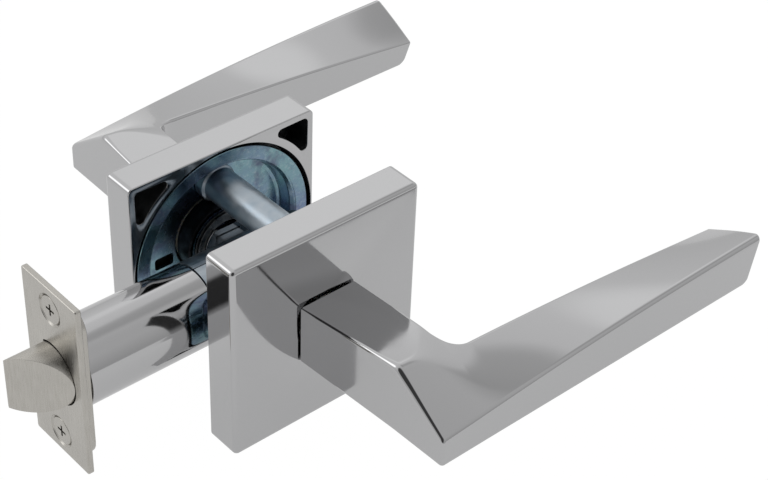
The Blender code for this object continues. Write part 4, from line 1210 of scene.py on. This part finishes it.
@dataclass
class LatchPlates:
    """The face plate on the door's edge, the plate behind it and the two short screws."""

    finishes: Finishes
    face_x: float = -69.85
    width: float = 25.4
    height: float = 57.15
    sheet: float = 1.8
    recess: float = 0.3
    gap: float = 0.3
    corner_r: float = 0.7
    rim_r: float = 0.4
    back_width: float = 23.6
    back_height: float = 50.0
    back_corner_r: float = 6.0
    back_rim_r: float = 0.3
    screw_z: float = 21.4
    screw_r: float = 2.0
    screw_hole_r: float = 2.3
    cross: tuple[float, float] = (1.9, 0.35)
    bolt_r: float = 9.3
    bolt_back: float = 4.4
    bolt_gap: float = 0.45

    @property
    def back_x(self) -> float:
        """Where the rear plate's front face lies."""
        return self.face_x + self.sheet - self.recess + self.gap

    def bolt_outline(self, grow: float) -> np.ndarray:
        """A D in (Y, Z): a circle cut flat at the bolt's back, with both corners rounded.

        The circle is (r sin t, r cos t), grown by grow, in mm. Each corner's arc takes the place of
        the two points at that end.
        """
        radius, back = self.bolt_r + grow, self.bolt_back + grow
        edge = math.asin(back / radius)
        angle = np.linspace(math.pi - edge, TAU + edge, 60)
        rim = np.stack([radius * np.sin(angle), radius * np.cos(angle)], axis=-1)
        arcs = fillet(rim[[0, 2, 30, -3, -1]], 0.5, 4, 0.02)
        return np.concatenate([arcs[0], rim[2:-2], arcs[4]])

    def sheet_blank(self, width: float, height: float, corner: float, low: float, rim: float) -> Skin:
        """A flat blank with rounded corners and rims, its front face at low on X."""
        edge = rectangle(width / 2.0, height / 2.0, corner, 6)
        return slab(edge, low, low + self.sheet, Axis.X, rim, rim * 0.7, 3)

    def face_plate(self) -> bpy.types.Object:
        """Blank the face plate, then cut the bolt's hole, the screws' sinks and the rear step."""
        blank = self.sheet_blank(self.width, self.height, self.corner_r, self.face_x, self.rim_r)
        piece = make_object("latch_face_plate", blank)
        step = rectangle(self.back_width / 2.0 + self.gap, self.back_height / 2.0 + self.gap,
                         self.back_corner_r, 6)
        start = self.back_x - self.gap
        tools = [slab(step, start, start + 3.0, Axis.X)]
        hole = self.bolt_outline(self.bolt_gap)
        tools.append(slab(hole, self.face_x - 3.0, self.face_x + 5.0, Axis.X))
        for edge in (1.0, -1.0):
            corners = [(0.0, -1.0), (5.6, -1.0), (4.9, 0.12), (3.2, 1.75), (self.screw_hole_r, 1.76),
                       (self.screw_hole_r, 6.0), (0.0, 6.0)]
            sink = np.array(corners) + np.array([0.0, self.face_x])
            tools.append(lathe(axle_profile([tuple(row) for row in sink], 0.15, 2), Axis.X, 1.0, 64,
                               (0.0, edge * self.screw_z)))
        return cut(piece, *tools)

    def rear_plate(self) -> bpy.types.Object:
        """Blank the plate behind and cut its two screw holes and the bolt's hole."""
        blank = self.sheet_blank(self.back_width, self.back_height, self.back_corner_r, self.back_x,
                                 self.back_rim_r)
        piece = make_object("latch_rear_plate", blank)
        low, high = self.back_x - 2.0, self.back_x + 4.0
        tools = [slab(self.bolt_outline(self.bolt_gap), low, high, Axis.X)]
        for edge in (1.0, -1.0):
            tools.append(pin(self.screw_hole_r, low, high, Axis.X, 48, (0.0, edge * self.screw_z)))
        return cut(piece, *tools)

    def plate_screw(self, name: str, z: float) -> bpy.types.Object:
        """Turn a short countersunk screw with a slightly domed head and punch its cross recess."""
        x = self.face_x
        corners = [(0.0, x + 0.1), (4.1, x + 0.16), (4.25, x + 0.4), (self.screw_r, x + 1.85),
                   (self.screw_r, x + 4.2), (0.0, x + 4.2)]
        radii = np.array([0.1, 0.15, 0.12, 0.3, 0.4, 0.1])
        piece = make_object(name, lathe(axle_profile(corners, radii, 3), Axis.X, 1.0, 64, (0.0, z)))
        arm, half = self.cross
        return cut(piece, block((x - 1.0, -arm, z - half), (x + 1.1, arm, z + half)),
                   block((x - 1.0, -half, z - arm), (x + 1.1, half, z + arm)))

    def build(self) -> None:
        """Build both plates and both screws."""
        nickel = self.finishes.nickel
        place(self.face_plate(), nickel, "root", "satin_nickel", "face_plate")
        place(self.rear_plate(), nickel, "root", "satin_nickel", "back_plate")
        for level, edge in (("upper", 1.0), ("lower", -1.0)):
            screw = self.plate_screw(level + "_face_screw", edge * self.screw_z)
            place(screw, nickel, "root", "satin_nickel", level + "_plate_screw")


@dataclass
class Latch:
    """The tubular latch: its chromed tube, half cases, sprung bolt, retractor and hub.

    Each coil gives its mean radius, wire, first and last turn's places on X, all in mm, and turns.
    """

    finishes: Finishes
    plates: LatchPlates
    tube_r: float = 12.2
    tube_sheet: float = 1.0
    tube: tuple[float, float] = (-65.95, -24.3)
    throw: float = 12.6
    nose: float = 0.4
    collar: tuple[float, float] = (-65.75, -61.15)
    collar_r: float = 10.9
    stem_r: float = 2.8
    hook_r: float = 4.6
    hook: tuple[float, float] = (-40.2, -38.4)
    outer_coil: tuple[float, float, float, float, float] = (6.0, 1.1, -60.25, -44.9, 6.5)
    inner_coil: tuple[float, float, float, float, float] = (5.9, 1.0, -39.7, -23.3, 6.0)

    def barrel(self) -> Skin:
        """The drawn tube with rounded rims."""
        inner = self.tube_r - self.tube_sheet
        corners = [(inner, self.tube[0]), (self.tube_r, self.tube[0]), (self.tube_r, self.tube[1]),
                   (inner, self.tube[1])]
        return lathe(outline(corners, 0.4, 4), Axis.X, 1.0, 128, ring=True)

    def bolt(self) -> bpy.types.Object:
        """Carry the bolt's D along X, slant its nose, break its edges and add its collar and stem."""
        tip = self.plates.face_x - self.throw
        edge = self.plates.bolt_outline(0.0)
        piece = make_object("sprung_bolt", slab(edge, tip, self.collar[0] + 1.0, Axis.X))
        flat = self.plates.bolt_back - self.nose
        slope = math.atan2(self.plates.bolt_r + flat, self.throw)
        far = 40.0
        run = np.array([math.cos(slope), -math.sin(slope)])
        start = np.array([tip, flat])
        wedge = np.stack([start - run * far, start + run * far, start + run * far + np.array([-far, -far]),
                          start - run * far + np.array([-far, -far])])
        ends = np.array([-20.0, 20.0])[:, None]
        slant = grid_skin(lay(wedge[None, :, 0], wedge[None, :, 1], ends, Axis.Z))
        cut(piece, slant)
        break_edges(piece, 0.45, 3, 40.0)
        low, high = self.collar
        corners = [(0.0, low), (self.collar_r, low), (self.collar_r, high), (self.stem_r, high),
                   (self.stem_r, self.hook[0]), (self.hook_r, self.hook[0]), (self.hook_r, self.hook[1]),
                   (0.0, self.hook[1])]
        return cut(piece, lathe(axle_profile(corners, 0.3, 3), Axis.X, 1.0, 72), joins=True)

    def build(self) -> None:
        """Build the tube, the bolt and the springs, and dress the pieces kept from the frame."""
        finishes = self.finishes
        place(make_object("latch_barrel", self.barrel()), finishes.chrome, "root", "polished_chrome",
              "latch_tube")
        place(self.bolt(), finishes.nickel, "latch_bolt", "satin_nickel", "latch_bolt")
        outer = make_object("bolt_coil", coil(*self.outer_coil, Axis.X))
        place(outer, finishes.steel, "retractor", "spring_steel", "bolt_spring")
        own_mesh(outer)
        inner = make_object("retractor_coil", coil(*self.inner_coil, Axis.X))
        place(inner, finishes.steel, "root", "spring_steel", "retractor_spring")
        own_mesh(inner)
        for name in ("latch_case_front", "latch_case_rear"):
            dress_node(name, finishes.bright_zinc)
        for name in ("retractor", "latch_hub"):
            dress_node(name, finishes.blue_zinc)


# ---- the studio -------------------------------------------------------------------------------
@dataclass(frozen=True)
class Patch:
    """A round patch of the sky: full within inner degrees of its direction, gone past outer degrees.

    Level is the light that a shade leaves, as a factor, or the light that a lamp adds.
    """

    towards: tuple[float, float, float]
    outer: float
    inner: float
    level: float

    def share(self, tree: bpy.types.NodeTree, direction: bpy.types.NodeSocket) -> bpy.types.NodeSocket:
        """How much of the patch a direction of the sky has, from 0 to 1."""
        dot = add_node(tree, "ShaderNodeVectorMath", {1: self.towards}, {0: direction},
                       operation="DOT_PRODUCT")
        values = {"From Min": math.cos(math.radians(self.outer)),
                  "From Max": math.cos(math.radians(self.inner))}
        share = add_node(tree, "ShaderNodeMapRange", values, {"Value": dot.outputs["Value"]},
                         interpolation_type="SMOOTHSTEP")
        return share.outputs[0]


@dataclass
class Studio:
    """A pale floor, one soft wrap of light and the camera."""

    camera_side: Patch = Patch((-0.535, -0.584, 0.610), 40.0, 26.0, 0.1)
    ceiling_gap: Patch = Patch((0.535, -0.040, 0.844), 17.0, 8.0, 0.72)
    soft_box: Patch = Patch((-0.609, 0.584, 0.534), 19.0, 9.0, 1.2)
    back_box: Patch = Patch((0.535, 0.584, 0.610), 14.0, 5.0, 0.16)
    front_light: float = 0.61
    back_light: float = 0.86
    low_light: float = 0.78
    floor_z: float = -32.7
    floor_half: float = 3000.0
    floor_glow: float = 0.88
    glow_share: float = 0.72
    floor_white: float = 1.02
    white_share: float = 0.94
    target: tuple[float, float, float] = (46.39, 0.0, -11.55)
    azimuth: float = -42.48
    elevation: float = 37.62
    roll: float = 2.40
    distance: float = 566.99
    lens: float = 87.84

    def floor(self) -> None:
        """A large plain sheet, 6 m wide: a mid white in reflections, and paper white to the camera."""
        half = self.floor_half
        corners = np.array([(-half, -half), (half, -half), (half, half), (-half, half)])
        points = np.concatenate([corners, np.full((4, 1), self.floor_z)], axis=1) * MM
        mesh = bpy.data.meshes.new("studio_floor")
        mesh.from_pydata(points.tolist(), [], [[0, 1, 2, 3]])
        sheet = bpy.data.objects.new("studio_floor", mesh)
        bpy.context.scene.collection.objects.link(sheet)
        material = bpy.data.materials.new("matt_white_paper")
        material.use_nodes = True
        tree = material.node_tree
        tree.nodes.remove(tree.nodes["Principled BSDF"])
        matt = add_node(tree, "ShaderNodeBsdfDiffuse", {"Color": linear("#e2e2e2")})
        glow = add_node(tree, "ShaderNodeEmission", {"Color": WHITE, "Strength": self.floor_glow})
        lit = add_node(tree, "ShaderNodeMixShader", {0: self.glow_share},
                       {1: matt.outputs[0], 2: glow.outputs[0]})
        white = add_node(tree, "ShaderNodeEmission", {"Color": WHITE, "Strength": self.floor_white})
        path = add_node(tree, "ShaderNodeLightPath")
        share = add_node(tree, "ShaderNodeMath", {1: self.white_share}, {0: path.outputs["Is Camera Ray"]},
                         operation="MULTIPLY")
        mix = add_node(tree, "ShaderNodeMixShader", None, {0: share.outputs[0], 1: lit.outputs[0],
                                                           2: white.outputs[0]})
        tree.links.new(mix.outputs[0], tree.nodes["Material Output"].inputs["Surface"])
        mesh.materials.append(material)

    def light(self) -> None:
        """Wrap the set in light that is dim in front, brighter behind and a little dimmer low down.

        A dark patch stands where the camera is, so edges that face it go dark, and the ceiling has a
        slightly darker gap. One soft box hangs up left behind, and a weaker one straight behind, where
        level tops that the camera sees reflect it.
        """
        world = bpy.data.worlds.new("studio_wrap")
        bpy.context.scene.world = world
        world.use_nodes = True
        tree = world.node_tree
        direction = add_node(tree, "ShaderNodeTexCoord").outputs["Generated"]
        parts = add_node(tree, "ShaderNodeSeparateXYZ", None, {0: direction})
        depth = {"From Min": -0.6, "From Max": 0.6, "To Min": self.front_light, "To Max": self.back_light}
        wrap = add_node(tree, "ShaderNodeMapRange", depth, {"Value": parts.outputs["Y"]},
                        interpolation_type="SMOOTHSTEP")
        rise = {"From Min": 0.05, "From Max": 0.55, "To Min": self.low_light, "To Max": 1.0}
        height = add_node(tree, "ShaderNodeMapRange", rise, {"Value": parts.outputs["Z"]})
        value = add_node(tree, "ShaderNodeMath", None, {0: wrap.outputs[0], 1: height.outputs[0]},
                         operation="MULTIPLY")
        for patch in (self.camera_side, self.ceiling_gap):
            shade = add_node(tree, "ShaderNodeMapRange", {"To Min": 1.0, "To Max": patch.level},
                             {"Value": patch.share(tree, direction)})
            value = add_node(tree, "ShaderNodeMath", None, {0: value.outputs[0], 1: shade.outputs[0]},
                             operation="MULTIPLY")
        for patch in (self.soft_box, self.back_box):
            value = add_node(tree, "ShaderNodeMath", {1: patch.level},
                             {0: patch.share(tree, direction), 2: value.outputs[0]},
                             operation="MULTIPLY_ADD")
        path = add_node(tree, "ShaderNodeLightPath")
        seen = add_node(tree, "ShaderNodeMix", {3: 1.0},
                        {0: path.outputs["Is Camera Ray"], 2: value.outputs[0]}, data_type="FLOAT")
        background = tree.nodes["Background"]
        background.inputs["Color"].default_value = WHITE
        tree.links.new(seen.outputs[0], background.inputs["Strength"])

    def camera(self) -> None:
        """Stand the camera at its azimuth, elevation, roll and distance from the target."""
        azimuth, elevation = math.radians(self.azimuth), math.radians(self.elevation)
        roll = math.radians(self.roll)
        back = Vector((math.sin(azimuth) * math.cos(elevation), -math.cos(azimuth) * math.cos(elevation),
                       math.sin(elevation)))
        right = Vector((math.cos(azimuth), math.sin(azimuth), 0.0))
        up = back.cross(right)
        turned_right = right * math.cos(roll) + up * math.sin(roll)
        turned_up = up * math.cos(roll) - right * math.sin(roll)
        data = bpy.data.cameras.new("product_camera")
        data.lens = self.lens
        data.sensor_width = 36.0
        data.clip_start = 0.01
        camera = bpy.data.objects.new("product_camera", data)
        bpy.context.scene.collection.objects.link(camera)
        place_of = (Vector(self.target) + back * self.distance) * MM
        axes = Matrix((turned_right, turned_up, back)).transposed().to_4x4()
        camera.matrix_world = Matrix.Translation(place_of) @ axes
        bpy.context.scene.camera = camera

    def build(self) -> None:
        """Set the studio up, with plain colours and no film look."""
        self.floor()
        self.light()
        self.camera()
        bpy.context.scene.view_settings.view_transform = "Standard"
        LOG.info("studio: floor, light and camera")


def main() -> None:
    """Build the set in order."""
    logging.basicConfig(level=logging.INFO, format="%(name)s %(message)s")
    finishes = Finishes.build()
    for side in Side:
        Lever(side, finishes).build()
        Rose(side, finishes).build()
        SpringPack(side, finishes).build()
    Fixings(finishes).build()
    plates = LatchPlates(finishes)
    plates.build()
    Latch(finishes, plates).build()
    Studio().build()
    bpy.context.view_layer.update()


if __name__ == "__main__":
    main()
